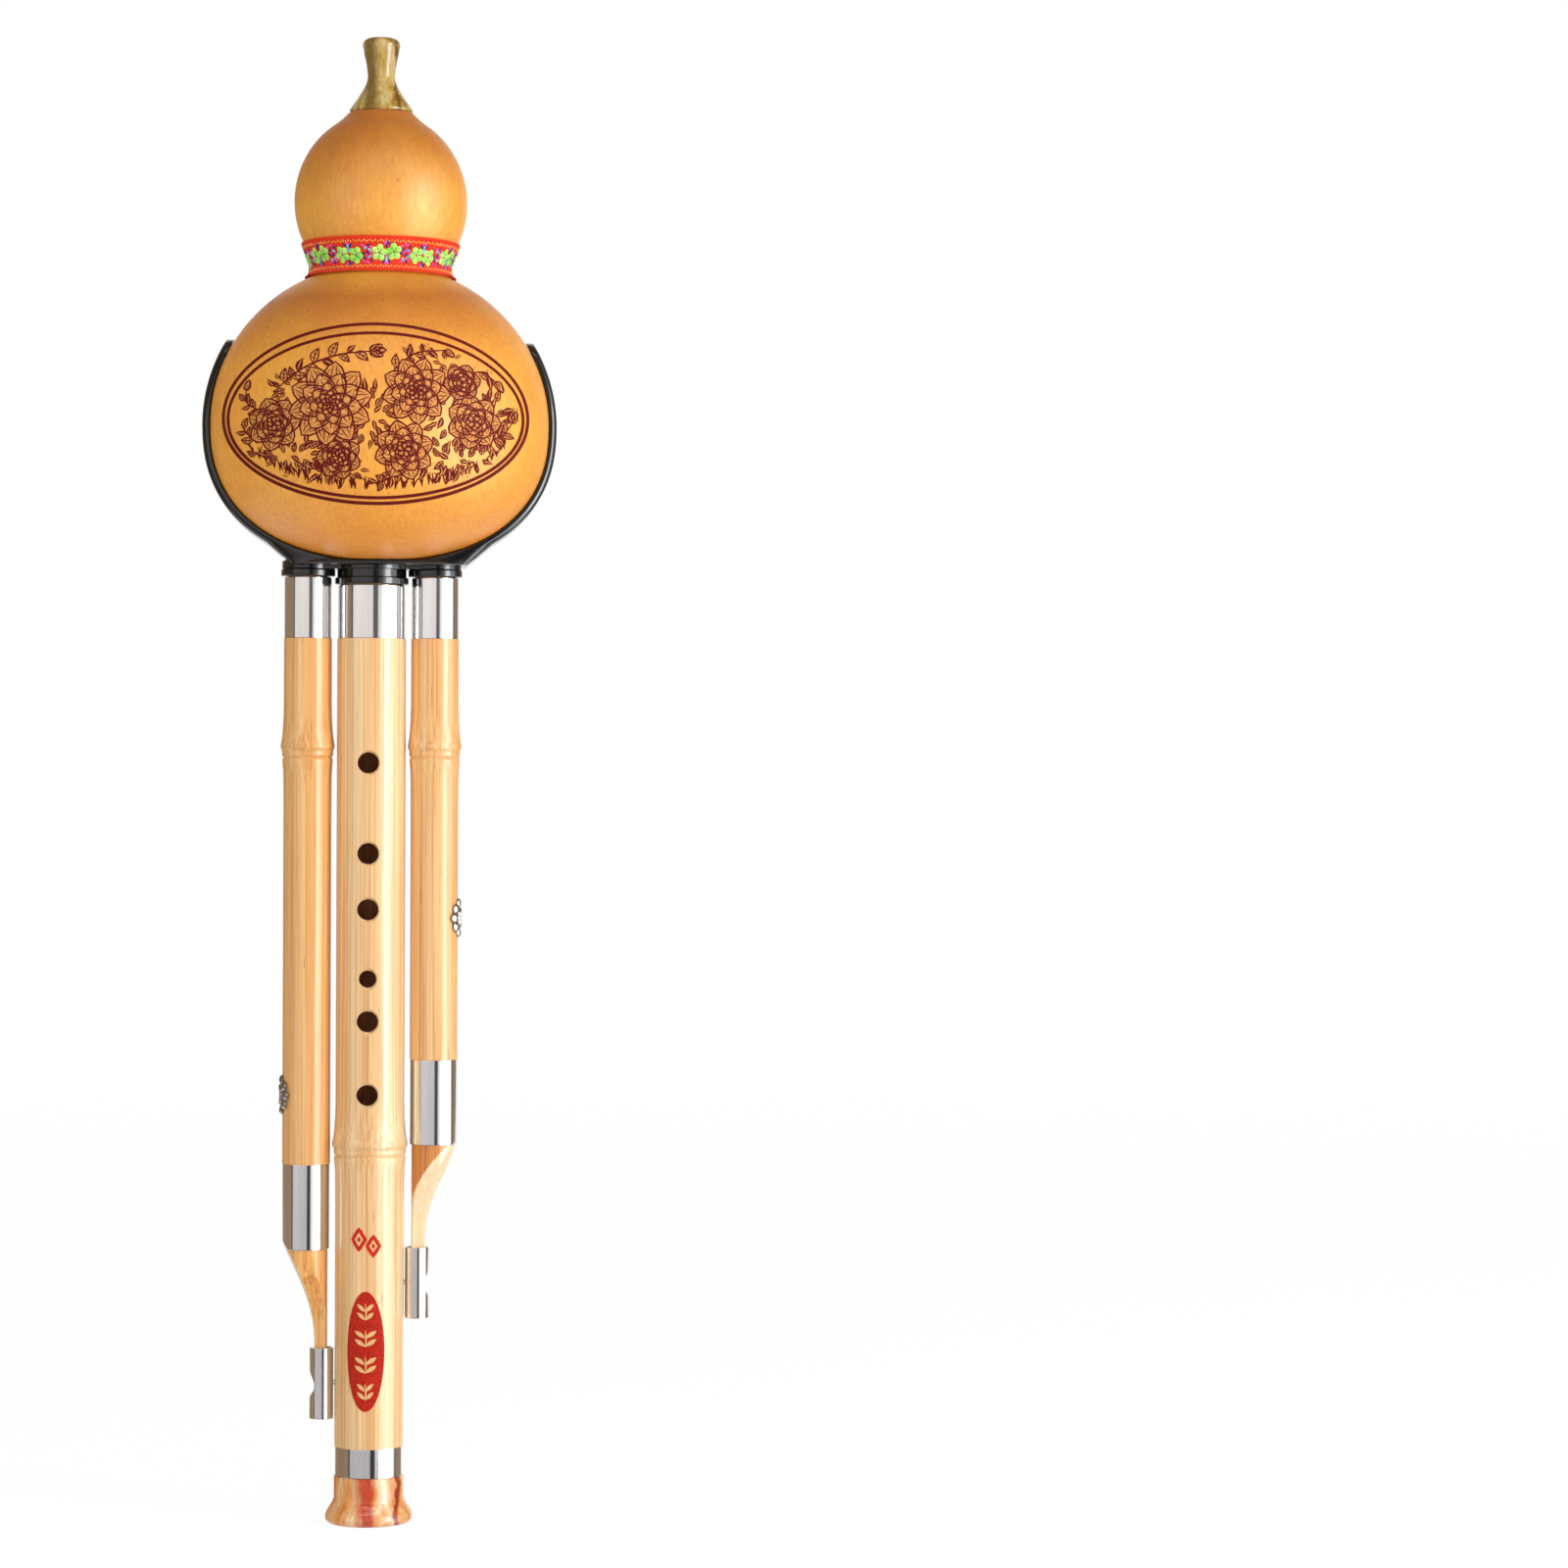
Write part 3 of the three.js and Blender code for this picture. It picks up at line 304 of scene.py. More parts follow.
def ribbon_finish():
    """Red jacquard ground: warp ribs round the band crossed by weft, from the piece's own UV map."""
    f = Finish("ribbon_weave", roughness=0.72, sheen=0.05, specular=0.15)
    warp, weft = (
        f.maths("SINE", f.maths("MULTIPLY", f.axis(name, "UV"), count * 2 * math.pi))
        for name, count in (("X", WARP_COUNT), ("Y", WEFT_COUNT))
    )
    height = f.maths("MULTIPLY", f.maths("MULTIPLY_ADD", warp, weft, 1.0), 0.5)
    colour = f.ramp(height, [(0.1, "d61c0a"), (0.8, "ff4a22")])
    colour = f.stain(colour, 0.3, f.noise((130, 130, 200), detail=4), "e0c0b4", 0.3, 0.6)
    return f.paint(colour, f.bump(height, 0.12, 0.8))


def thread_finish(name, light, dark):
    """Embroidery floss: fine twisted strands."""
    f = Finish(name, roughness=0.5, sheen=0.15, specular=0.3)
    strands = f.noise((5200, 5200, 2600), detail=2)
    dye = f.noise((420, 420, 420), detail=2)
    shade = f.maths("MULTIPLY_ADD", dye, 0.6, f.maths("MULTIPLY", strands, 0.4))
    return f.paint(f.ramp(shade, [(0.38, dark), (0.6, light)]), f.bump(strands, 0.06, 0.7))


def ink_finish(name, light, dark):
    """Burnt and stained line work in the lacquer."""
    f = Finish(name, roughness=0.6, specular=0.12)
    blot = f.noise((1600, 1600, 1600), detail=4, rough=0.65)
    return f.paint(f.ramp(blot, [(0.32, dark), (0.68, light)]), f.bump(blot, 0.04, 0.5))


GOURD = gourd_finish()
MAIN_BAMBOO = bamboo_finish("main_bamboo", "feecc2", "fbdba4", "e8b679", "deb27c", "8a5a2a")
LEFT_BAMBOO = bamboo_finish("left_bamboo", "fad59c", "f2c078", "dea254", "dcaa6c", "7e4f22")
RIGHT_BAMBOO = bamboo_finish("right_bamboo", "fcdca4", "f2c07a", "dea256", "dcaa6c", "7e4f22")
RIGHT_TAIL_BARE = (93.5, 116.8, middle("right_tail", 0), 6.9)
LEFT_TAIL = bamboo_finish("left_tail_bamboo", "fcd08e", "f2b866", "de9e4e", "d69a54", "7e4a1e")
# Painted shade: the right tail's skin is painted deeper than the left tail's, for its inner side that faces
# away from the key lamp.
RIGHT_TAIL = bamboo_finish(
    "right_tail_bamboo", "eeae64", "dc9240", "c4782c", "c07c38", "7e4a1e", bare=RIGHT_TAIL_BARE,
)
CUT_BAMBOO = cut_bamboo_finish("tail_cut", CUT_PALE, CUT_DEEP)
RIM_BAMBOO = cut_bamboo_finish("hole_edge", "ecd09a", "c79858")
BORE = hole_finish()
CHROME = chrome_finish("bright_chrome", "d3d2d0", "e9e9ea", 0.09, 0.15)
PRESSED = chrome_finish("pressed_chrome", "8e8b86", "b4b2ae", 0.14, 0.26)
BLACK = black_finish()
LIP_STOPS = (
    (0.30, "4a2c06"), (0.78, "f4e8c8"), (0.40, "7e5618"), (0.48, "b8933e"), (0.55, "ccae6a"),
    (0.65, "dac48c"),
)
LIP_STREAKS = ((-3.0, 4.4, "7e601e"), (5.0, 1.0, "6a4a12"))
LIP_HORN = horn_finish("horn_mouthpiece", (3.1, 1.7, 0.4), (120, 120, 14), LIP_STOPS, LIP_STREAKS)
BELL_STOPS = (
    (0.28, "d05a24"), (0.76, "ffecc8"), (0.39, "ea8a40"), (0.47, "f4aa62"), (0.56, "f8c086"),
    (0.66, "fcd8aa"),
)
BELL_STREAKS = ((-3.2, 4.8, "c82a06"), (6.3, 1.3, "9a1e0c"))
BELL_HORN = horn_finish("horn_bell", (8.3, 4.9, 2.2), (110, 110, 24), BELL_STOPS, BELL_STREAKS)
CORK = cork_finish()
BRASS = brass_finish("drawn_brass", "c9a352", "a07a34", (320, 320, 2600))
REED = brass_finish("rolled_brass", "d9b45e", "b58c3e", (2600, 320, 320))
RIBBON = ribbon_finish()
GOLD_THREAD = thread_finish("gold_thread", "ffd070", "e89030")
LIME_THREAD = thread_finish("lime_thread", "d0ff7c", "6ce03c")
BLUE_THREAD = thread_finish("blue_thread", "a8dcf8", "3c74d0")
PLUM_THREAD = thread_finish("plum_thread", "54307c", "1a1230")
PINK_THREAD = thread_finish("pink_thread", "f860b8", "c01880")
MAROON_INK = ink_finish("maroon_ink", "7e1c14", "480c0c")
ROSE_INK = ink_finish("rose_ink", "eeae5c", "c8703a")
SEAL_INK = ink_finish("seal_ink", "d03018", "9a160c")
MARK_INK = ink_finish("mark_ink", "e03416", "b42010")
SEAL_PALE = ink_finish("seal_pale", "efc98c", "d9a565")


# Meshes

def new_object(name, data):
    """An object in the scene. It sits at the origin, as the frame's nodes do."""
    thing = bpy.data.objects.new(name, data)
    bpy.context.scene.collection.objects.link(thing)
    return thing


def mesh_object(name, points, faces, material, smooth=True):
    """A mesh from points in millimetres."""
    mesh = bpy.data.meshes.new(name)
    mesh.from_pydata([tuple(c * MM for c in p) for p in points], [], faces)
    mesh.materials.append(material)
    thing = new_object(name, mesh)
    tidy(thing, smooth)
    return thing


def tidy(thing, smooth=True):
    """Merges doubled points, turns the faces outwards and shades them smooth up to a sharp edge."""
    work = bmesh.new()
    work.from_mesh(thing.data)
    bmesh.ops.remove_doubles(work, verts=work.verts, dist=MM * MERGE)
    bmesh.ops.recalc_face_normals(work, faces=work.faces)
    work.to_mesh(thing.data)
    work.free()
    if smooth:
        thing.data.shade_smooth()
        thing.data.set_sharp_from_angle(angle=SMOOTH_ANGLE)


def joined(name, things):
    """Several objects as one, with their material slots kept."""
    bpy.ops.object.select_all(action="DESELECT")
    for thing in things:
        thing.select_set(True)
    bpy.context.view_layer.objects.active = things[0]
    bpy.ops.object.join()
    things[0].name = name
    things[0].data.name = name
    return things[0]


def ring_faces(count, rings, start=0, closed=False):
    """Faces between rings of so many points each, one after the other, and on to the first ring if closed."""
    faces = []
    for ring in range(rings if closed else rings - 1):
        a, b = start + ring * count, start + (ring + 1) % rings * count
        faces += [[a + k, a + (k + 1) % count, b + (k + 1) % count, b + k] for k in range(count)]
    return faces


def turned(name, outline, material, x=0.0, steps=PIPE_STEPS):
    """A closed outline of (radius, height) turned round the upright line at x."""
    points = []
    rows = []
    for across, up in outline:
        if across < 1e-6:
            rows.append([len(points)] * steps)
            points.append((x, 0.0, up))
            continue
        rows.append(list(range(len(points), len(points) + steps)))
        for i in range(steps):
            angle = 2 * math.pi * i / steps
            points.append((x + across * math.cos(angle), across * math.sin(angle), up))
    faces = []
    for here, there in zip(rows, rows[1:] + rows[:1]):
        for i in range(steps):
            j = (i + 1) % steps
            unique = list(dict.fromkeys([here[i], here[j], there[j], there[i]]))
            if len(unique) > 2:
                faces.append(unique)
    return mesh_object(name, points, faces, material)


# A corner's arc takes no more than 1 part in CORNER_SHARE of the lines beside it. BEYOND is how far a cutting
# tool reaches past what it cuts.
BLUNT_CORNER = math.radians(150)
CORNER_SHARE = 2.2
GUARD = 0.05
GUARD_SHARE = 0.04
BEYOND = 4


def rounded(outline, size, steps=3):
    """The closed outline with a small arc for each sharp corner, and a point just before and after it."""
    result = []
    count = len(outline)
    for i, here in enumerate(outline):
        before, after = Vector(outline[i - 1]), Vector(outline[(i + 1) % count])
        corner = Vector(here)
        back, on = before - corner, after - corner
        if corner.x < 1e-6 or back.length < 1e-6 or on.length < 1e-6 or back.angle(on) > BLUNT_CORNER:
            result.append(tuple(here))
            continue
        reach = min(size, back.length / CORNER_SHARE, on.length / CORNER_SHARE)
        start, end = corner + back.normalized() * reach, corner + on.normalized() * reach
        result.append(tuple(start + back.normalized() * min(GUARD, back.length * GUARD_SHARE)))
        for k in range(steps + 1):
            t = k / steps
            result.append(tuple(start * (1 - t) ** 2 + corner * 2 * t * (1 - t) + end * t ** 2))
        result.append(tuple(end + on.normalized() * min(GUARD, on.length * GUARD_SHARE)))
    return result


def tube(name, inner, outer, bottom, top, material, x=0.0, edge=0.0, steps=PIPE_STEPS):
    """An upright tube, or a solid cylinder where inner is 0, with its edges softened where edge isn't 0."""
    outline = [(inner, bottom), (outer, bottom), (outer, top), (inner, top)]
    if edge:
        outline = rounded(outline, edge)
    return turned(name, outline, material, x, steps)


def prism(name, outline, depth, axis, material):
    """A flat outline pushed out both ways from the middle plane: along Y from (x, z), along X from (y, z)."""
    def place(p, side):
        return (p[0], side * depth, p[1]) if axis == "y" else (side * depth, p[0], p[1])
    count = len(outline)
    points = [place(p, side) for side in (-1, 1) for p in outline]
    faces = [list(range(count)), list(range(count, 2 * count)), *ring_faces(count, 2)]
    return mesh_object(name, points, faces, material, smooth=False)


def block(name, left, right, bottom, top, depth, material):
    outline = [(left, bottom), (right, bottom), (right, top), (left, top)]
    return prism(name, outline, depth, "y", material)


def cut(thing, tools, operation="DIFFERENCE"):
    """Cuts the tools out of the piece, or keeps what both share, and removes the tools."""
    for tool in tools:
        change = thing.modifiers.new("cut", "BOOLEAN")
        change.operation = operation
        change.solver = "EXACT"
        change.object = tool
    bpy.context.view_layer.update()
    graph = bpy.context.evaluated_depsgraph_get()
    made = bpy.data.meshes.new_from_object(thing.evaluated_get(graph))
    thing.modifiers.clear()
    thing.data = made
    for tool in tools:
        bpy.data.objects.remove(tool)
    tidy(thing)


def moved(thing, x=0.0, y=0.0, z=0.0, turn=0.0, axis="Z"):
    """The piece turned by so many degrees about an axis through the origin, and then carried away."""
    carry = Matrix.Translation((x * MM, y * MM, z * MM))
    thing.data.transform(carry @ Matrix.Rotation(math.radians(turn), 4, axis))
    return thing


def repaint(thing, materials, choose):
    """Gives each face the material that choose(centre in millimetres, normal) returns."""
    thing.data.materials.clear()
    for material in materials:
        thing.data.materials.append(material)
    for face in thing.data.polygons:
        face.material_index = materials.index(choose(face.center / MM, face.normal))


def facing(centre, normal, x):
    """How far a place is from the upright line at x, and how squarely its face looks away from it."""
    outward = Vector((centre.x - x, centre.y, 0)).normalized().dot(normal)
    return math.hypot(centre.x - x, centre.y), outward


def settle(thing, body, slot, *nodes):
    """The piece rides on a body and stands for these nodes. Its slot is not used."""
    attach(thing, body)
    if nodes:
        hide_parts(*nodes)
    return thing


def lerp(a, b, t):
    return a + (b - a) * t


def shares(steps):
    """Even steps from 0 to 1."""
    return [i / steps for i in range(steps + 1)]


def arc(centre, half_x, half_z, start, end, steps):
    """Part of an ellipse, from one angle to another."""
    angles = [lerp(start, end, share) for share in shares(steps)]
    return [(centre[0] + half_x * math.cos(a), centre[1] + half_z * math.sin(a)) for a in angles]


def curve(a, b, c, steps):
    """A quadratic curve from a to c that leaves along a-b and arrives along b-c."""
    a, b, c = Vector(a), Vector(b), Vector(c)
    return [tuple(a * (1 - t) ** 2 + b * 2 * t * (1 - t) + c * t ** 2) for t in shares(steps)]


def cubic(a, b, c, d, steps):
    """A cubic curve from a to d that leaves along a-b and arrives along c-d."""
    a, b, c, d = Vector(a), Vector(b), Vector(c), Vector(d)
    return [
        tuple(a * (1 - t) ** 3 + b * 3 * t * (1 - t) ** 2 + c * 3 * t * t * (1 - t) + d * t ** 3)
        for t in shares(steps)
    ]


def smooth_line(points, steps):
    """A Catmull-Rom curve through the points."""
    line = [2 * Vector(points[0]) - Vector(points[1])] + [Vector(p) for p in points]
    line.append(2 * Vector(points[-1]) - Vector(points[-2]))
    result = []
    for i in range(1, len(line) - 2):
        a, b, c, d = line[i - 1:i + 3]
        for k in range(steps):
            t = k / steps
            result.append(tuple(0.5 * (2 * b + (c - a) * t + (2 * a - 5 * b + 4 * c - d) * t * t
                                       + (3 * b - a - 3 * c + d) * t ** 3)))
    result.append(tuple(points[-1]))
    return result


def radius_at(line, z):
    """The radius at a height, on a line of (radius, height) points that climbs."""
    for (r0, z0), (r1, z1) in zip(line, line[1:]):
        if z0 <= z <= z1:
            return lerp(r0, r1, (z - z0) / max(z1 - z0, 1e-9))
    return line[0][0] if z < line[0][1] else line[-1][0]


# The gourd's outline, from the same few sizes as the solid

# Each join is a share of the way from one size to the next, where one curve hands over to another.
BULB_RADIUS = high("gourd", 1)
CUT_Z, TOP_Z = ends("gourd")
BULB_DROP = 40.9
BULB_Z = CUT_Z - 1 + BULB_DROP
BULB_POWER = 2.33
BULB_JOIN = 0.071
WAIST_Z = BULB_Z + 49
WAIST_LEAD = 4.1
WAIST_RADIUS = 20.5
UPPER_RADIUS = 26.1
UPPER_Z = WAIST_Z + 19.6
UPPER_JOIN = (0.54, 0.388)
NECK_RADIUS = 9.8
NECK_JOIN = 0.26
NECK_LEAD = 0.35
NECK_LAND = 5.4
WALL = 2.8


def gourd_outline(steps):
    """(radius, height) from the edge of the flat cut up to the neck."""
    line = []
    start = math.acos(((BULB_Z - CUT_Z) / BULB_DROP) ** (BULB_POWER / 2))
    for i in range(steps):
        angle = lerp(start, math.pi / 2, i / steps)
        across = BULB_RADIUS * math.sin(angle) ** (2 / BULB_POWER)
        line.append((across, BULB_Z - BULB_DROP * max(math.cos(angle), 0) ** (2 / BULB_POWER)))

    join_radius = lerp(WAIST_RADIUS, BULB_RADIUS, BULB_JOIN)
    join = math.acos(join_radius / BULB_RADIUS)
    rise = (WAIST_Z - BULB_Z - WAIST_LEAD) / math.sin(join)
    line += arc((0, BULB_Z), BULB_RADIUS, rise, 0, join, steps)[:-1]
    slope = BULB_RADIUS * math.sin(join) / (rise * math.cos(join))
    low_join = (join_radius, WAIST_Z - WAIST_LEAD)
    control = (WAIST_RADIUS, low_join[1] + (join_radius - WAIST_RADIUS) / slope)
    line += curve(low_join, control, (WAIST_RADIUS, WAIST_Z), steps // 2)

    high_radius = lerp(WAIST_RADIUS, UPPER_RADIUS, UPPER_JOIN[0])
    high_join = math.acos(high_radius / UPPER_RADIUS)
    join_z = WAIST_Z + (UPPER_Z - WAIST_Z) * UPPER_JOIN[1]
    half = (UPPER_Z - join_z) / math.sin(high_join)
    slope = UPPER_RADIUS * math.sin(high_join) / (half * math.cos(high_join))
    control = (WAIST_RADIUS, join_z - (high_radius - WAIST_RADIUS) / slope)
    line += curve((WAIST_RADIUS, WAIST_Z), control, (high_radius, join_z), steps // 2)[1:]

    neck_join = math.acos(lerp(NECK_RADIUS, UPPER_RADIUS, NECK_JOIN) / UPPER_RADIUS)
    line += arc((0, UPPER_Z), UPPER_RADIUS, half, -high_join, neck_join, steps)[1:]
    slope = UPPER_RADIUS * math.sin(neck_join) / (half * math.cos(neck_join))
    step = (TOP_Z - line[-1][1]) * NECK_LEAD
    control = (line[-1][0] - slope * step, line[-1][1] + step)
    line += curve(line[-1], control, (NECK_RADIUS, TOP_Z), steps // 3)[1:]
    return line


OUTLINE = gourd_outline(30)
HEIGHTS = [z for _, z in OUTLINE]


def gourd_radius(z):
    i = min(max(bisect.bisect(HEIGHTS, z), 1), len(OUTLINE) - 1)
    (r0, z0), (r1, z1) = OUTLINE[i - 1], OUTLINE[i]
    return lerp(r0, r1, (z - z0) / max(z1 - z0, 1e-9))


def pushed_out(outline, distance):
    result = []
    for i, (across, up) in enumerate(outline):
        before, after = outline[max(i - 1, 0)], outline[min(i + 1, len(outline) - 1)]
        tangent = Vector((after[0] - before[0], after[1] - before[1])).normalized()
        result.append((across + tangent.y * distance, up - tangent.x * distance))
    return result


# Places on curved surfaces, for thin raised work such as drawn lines and embroidery

def on_gourd(x, z, lift):
    """The point of the gourd's front that is seen at (x, z)."""
    across = gourd_radius(z) + lift
    return Vector((x, -math.sqrt(max(across * across - x * x, 0.01)), z))


def on_melody_pipe(s, z, lift):
    """The point of the melody pipe at a distance round its front and a height."""
    angle = s / PIPE_RADIUS
    across = PIPE_RADIUS + lift
    return Vector((PIPE_X + across * math.sin(angle), -across * math.cos(angle), z))


class Relief:
    """Collects thin closed shapes that lie on a surface, and makes them into one piece."""

    def __init__(self, place, sink=0.12):
        self.place = place
        self.sink = sink
        self.points = []
        self.faces = []

    def stroke(self, line, width, lift, taper=0.35, loop=False):
        """A flat ribbon along a line of (across, up) points, narrowing towards its ends."""
        count = len(line)
        start = len(self.points)
        for i, (x, z) in enumerate(line):
            before = line[i - 1] if loop or i else line[0]
            after = line[(i + 1) % count] if loop or i < count - 1 else line[-1]
            along = Vector((after[0] - before[0], after[1] - before[1]))
            along = along.normalized() if along.length > 1e-9 else Vector((1, 0))
            t = i / max(count - 1, 1)
            half = width / 2 * (1 if loop else lerp(taper, 1, math.sin(math.pi * t) ** 0.6))
            sx, sz = -along.y * half, along.x * half
            for side, height in ((-1, lift), (1, lift), (1, -self.sink), (-1, -self.sink)):
                self.points.append(self.place(x + side * sx, z + side * sz, height))
        self.faces += ring_faces(4, count, start, closed=loop)
        if not loop:
            end = start + 4 * (count - 1)
            self.faces.append([start, start + 1, start + 2, start + 3])
            self.faces.append([end + 3, end + 2, end + 1, end])

    def patch(self, rim, lift, crown=0.0, rings=1):
        """A filled shape inside a rim of (across, up) points, domed by crown."""
        count = len(rim)
        cx, cz = sum(p[0] for p in rim) / count, sum(p[1] for p in rim) / count
        start = len(self.points)
        self.points += [self.place(x, z, -self.sink) for x, z in rim]
        for ring in range(rings + 1):
            keep = 1 - ring / (rings + 1)
            rise = lift + crown * (1 - keep * keep)
            self.points += [self.place(lerp(cx, x, keep), lerp(cz, z, keep), rise) for x, z in rim]
        self.points.append(self.place(cx, cz, lift + crown))
        top = len(self.points) - 1
        self.faces += ring_faces(count, rings + 2, start)
        a = start + (rings + 1) * count
        self.faces += [[a + i, a + (i + 1) % count, top] for i in range(count)]
        self.faces.append([start + i for i in reversed(range(count))])

    def lay(self, name, material, body, slot):
        return settle(mesh_object(name, self.points, self.faces, material), body, slot)


def oval(cx, cz, half_x, half_z, count, turn=0.0):
    points = []
    for i in range(count):
        angle = 2 * math.pi * i / count
        x, z = half_x * math.cos(angle), half_z * math.sin(angle)
        px, pz = x * math.cos(turn) - z * math.sin(turn), x * math.sin(turn) + z * math.cos(turn)
        points.append((cx + px, cz + pz))
    return points


# Gourd

SOCKET_WALL = 0.7
SOCKETS = {
    name: {"x": middle(f"{name}_socket", 0), "bore": bore, "spigot": bore + SOCKET_WALL}
    for name, bore in (("left", 6.3), ("main", 9.65), ("right", 6.3))
}
GAP = 0.3
GLUE = 0.15
BOSS_WALL = 0.75
FLOOR_Z = CUT_Z - 1.7
BOSS_Z = low("cradle", 2)
NECK_HOLE = middle("mouthpiece", 1) + 6.1


def make_gourd():
    inside = [p for p in pushed_out(gourd_outline(12), -WALL) if CUT_Z + WALL < p[1] < TOP_Z - NECK_LAND]
    outline = [(0, CUT_Z), *OUTLINE, (NECK_HOLE, TOP_Z), (NECK_HOLE, inside[-1][1])]
    outline += [*reversed(inside), (0, CUT_Z + WALL)]
    shell = turned("gourd_shell", outline, GOURD, steps=160)
    bottom, top = CUT_Z - BEYOND, CUT_Z + WALL + BEYOND
    cut(shell, [
        tube("drill", 0, s["spigot"] + GAP, bottom, top, GOURD, s["x"]) for s in SOCKETS.values()
    ])
    settle(shell, "wind_chest", "gourd_skin", "gourd")


# The drawing inside its double oval: a spray of blossoms, leaves and grass

FRAME_X = -1.3
FRAME_Z = 332.0
OUTER_OVAL = (45.2, 26.4)
OUTER_RISE = 0.6
INNER_OVAL = (43.7, 24.2)
OVAL_LINES = (0.95, 0.9)
OVAL_LIFT = 0.08
FIRST_LAYER = 0.02
LAYER_RISE = 0.03
INK_RISE = 0.02
EDGE_LINE = 0.42
MIDRIB_LINE = 0.36
VEIN_LINE = 0.28
PALE_RIB_LINE = 0.3
PETAL_LINE = 0.5
HATCH_LINE = 0.34
SEED = 0.26
SEEDS = 7
SEED_SPREAD = 0.045
SPIRAL_TURN = 2.4
LEAF_BOW = 0.08
VEIN_REACH = 0.78
RUFFLE = 0.07
PETAL_OVERLAP = 1.12
RINGS_OF_PETALS = (1.0, 0.74, 0.5, 0.3)
HATCHES = (7, 5, 3, 2)
GRASS_INSET = 2.2


class Drawing:
    """Dark line work over paler fills, kept inside the inner oval. Each layer covers the one below it."""

    def __init__(self):
        self.dark = Relief(on_gourd)
        self.light = Relief(on_gourd)
        self.level = FIRST_LAYER

    def next_layer(self):
        self.level += LAYER_RISE

    def inside(self, line, margin=1.0):
        a, b = INNER_OVAL[0] - margin, INNER_OVAL[1] - margin
        return all(((x - FRAME_X) / a) ** 2 + ((z - FRAME_Z) / b) ** 2 < 1 for x, z in line)

    def line(self, line, width, taper=0.35):
        if self.inside(line):
            self.dark.stroke(line, width, self.level + INK_RISE, taper)

    def fill(self, rim, solid=False):
        if self.inside(rim):
            if solid:
                self.dark.patch(rim, self.level + INK_RISE)
            else:
                self.light.patch(rim, self.level, rings=3)

    def leaf(self, x, z, angle, length, slim=0.24, solid=False):
        """A pointed leaf: a dark one with a pale midrib, or an outlined one with veins."""
        tip = (x + length * math.cos(angle), z + length * math.sin(angle))
        side = (-math.sin(angle), math.cos(angle))

        def at(t, out):
            bow = length * LEAF_BOW * math.sin(math.pi * t)
            wide = length * slim * math.sin(math.pi * t ** 0.8) * out + bow
            return (lerp(x, tip[0], t) + side[0] * wide, lerp(z, tip[1], t) + side[1] * wide)

        upper = [at(i / 8, 1) for i in range(9)]
        lower = [at(i / 8, -1) for i in range(9)]
        self.fill(upper + lower[-2:0:-1], solid)
        if solid:
            rib = [at(0.15 + i / 7, 0) for i in range(6)]
            if self.inside(rib):
                self.light.stroke(rib, PALE_RIB_LINE, self.level + 2 * INK_RISE)
            return
        self.line(upper, EDGE_LINE)
        self.line(lower, EDGE_LINE)
        self.line([at(i / 6, 0) for i in range(7)], MIDRIB_LINE)
        for k in range(2, 7, 2):
            for out in (-VEIN_REACH, VEIN_REACH):
                self.line([at(k / 8, 0), at(k / 8 + 0.07, out * 0.5), at(k / 8 + 0.11, out)], VEIN_LINE)

    def petal(self, x, z, angle, length, wide, hatch):
        """A ruffled petal, shaded by lines from its root and from its rim."""
        side = (-math.sin(angle), math.cos(angle))

        def at(t, out):
            swell = math.sin(math.pi * min(t, 1) ** 0.75) ** 0.55 if 0 < t < 1 else 0
            reach = length * t * (1 + RUFFLE * math.sin(9 * out + 5 * t))
            return (x + reach * math.cos(angle) + side[0] * wide * out * swell,
                    z + reach * math.sin(angle) + side[1] * wide * out * swell)

        rim = [at(i / 9, 1) for i in range(10)] + [at(i / 9, -1) for i in range(8, 0, -1)]
        if not self.inside(rim):
            return
        self.fill(rim)
        self.line(rim + [rim[0]], PETAL_LINE, taper=0.85)
        for k in range(hatch):
            out = lerp(-0.75, 0.75, k / max(hatch - 1, 1))
            span = (0.1, 0.5 + 0.25 * rng.random()) if k % 2 else (0.42 + 0.2 * rng.random(), 0.95)
            self.line([at(lerp(*span, i / 4), out) for i in range(5)], HATCH_LINE)

    def blossom(self, x, z, size, petals, turn):
        """Four rings of petals, each over the one outside it, and a seeded heart."""
        level = self.level
        for ring, (scale, hatch) in enumerate(zip(RINGS_OF_PETALS, HATCHES)):
            self.next_layer()
            count = petals - ring
            wide = size * scale * math.sin(math.pi / count) * PETAL_OVERLAP
            for k in range(count):
                angle = turn + 2 * math.pi * (k + 0.5 * ring) / count
                self.petal(x, z, angle, size * scale, wide, hatch)
        self.next_layer()
        for k in range(SEEDS):
            angle = SPIRAL_TURN * k
            across = size * SEED_SPREAD * math.sqrt(k)
            self.fill(oval(x + across * math.cos(angle), z + across * math.sin(angle), SEED, SEED, 8), True)
        self.level = level

    def bud(self, x, z, angle, size):
        for spread in (-0.7, 0.7):
            self.leaf(x, z, angle + spread, size * 0.7, 0.2, solid=True)
        for spread, scale in ((-0.42, 0.85), (0.42, 0.85), (0, 1)):
            self.petal(x, z, angle + spread, size * scale, size * 0.26, 3)

    def stem(self, points, width, leaves, size):
        """A curved stem with leaves by turns on each side."""
        line = smooth_line(points, 8)
        self.line(line, width, taper=0.6)
        step = max(len(line) // (leaves + 1), 1)
        for k in range(1, leaves + 1):
            i = min(k * step, len(line) - 2)
            (x, z), (nx, nz) = line[i], line[i + 1]
            angle = math.atan2(nz - z, nx - x) + (0.75 if k % 2 else -0.75) + rng.uniform(-0.15, 0.15)
            self.leaf(x, z, angle, size * rng.uniform(0.8, 1.15), solid=k % 3 == 0)

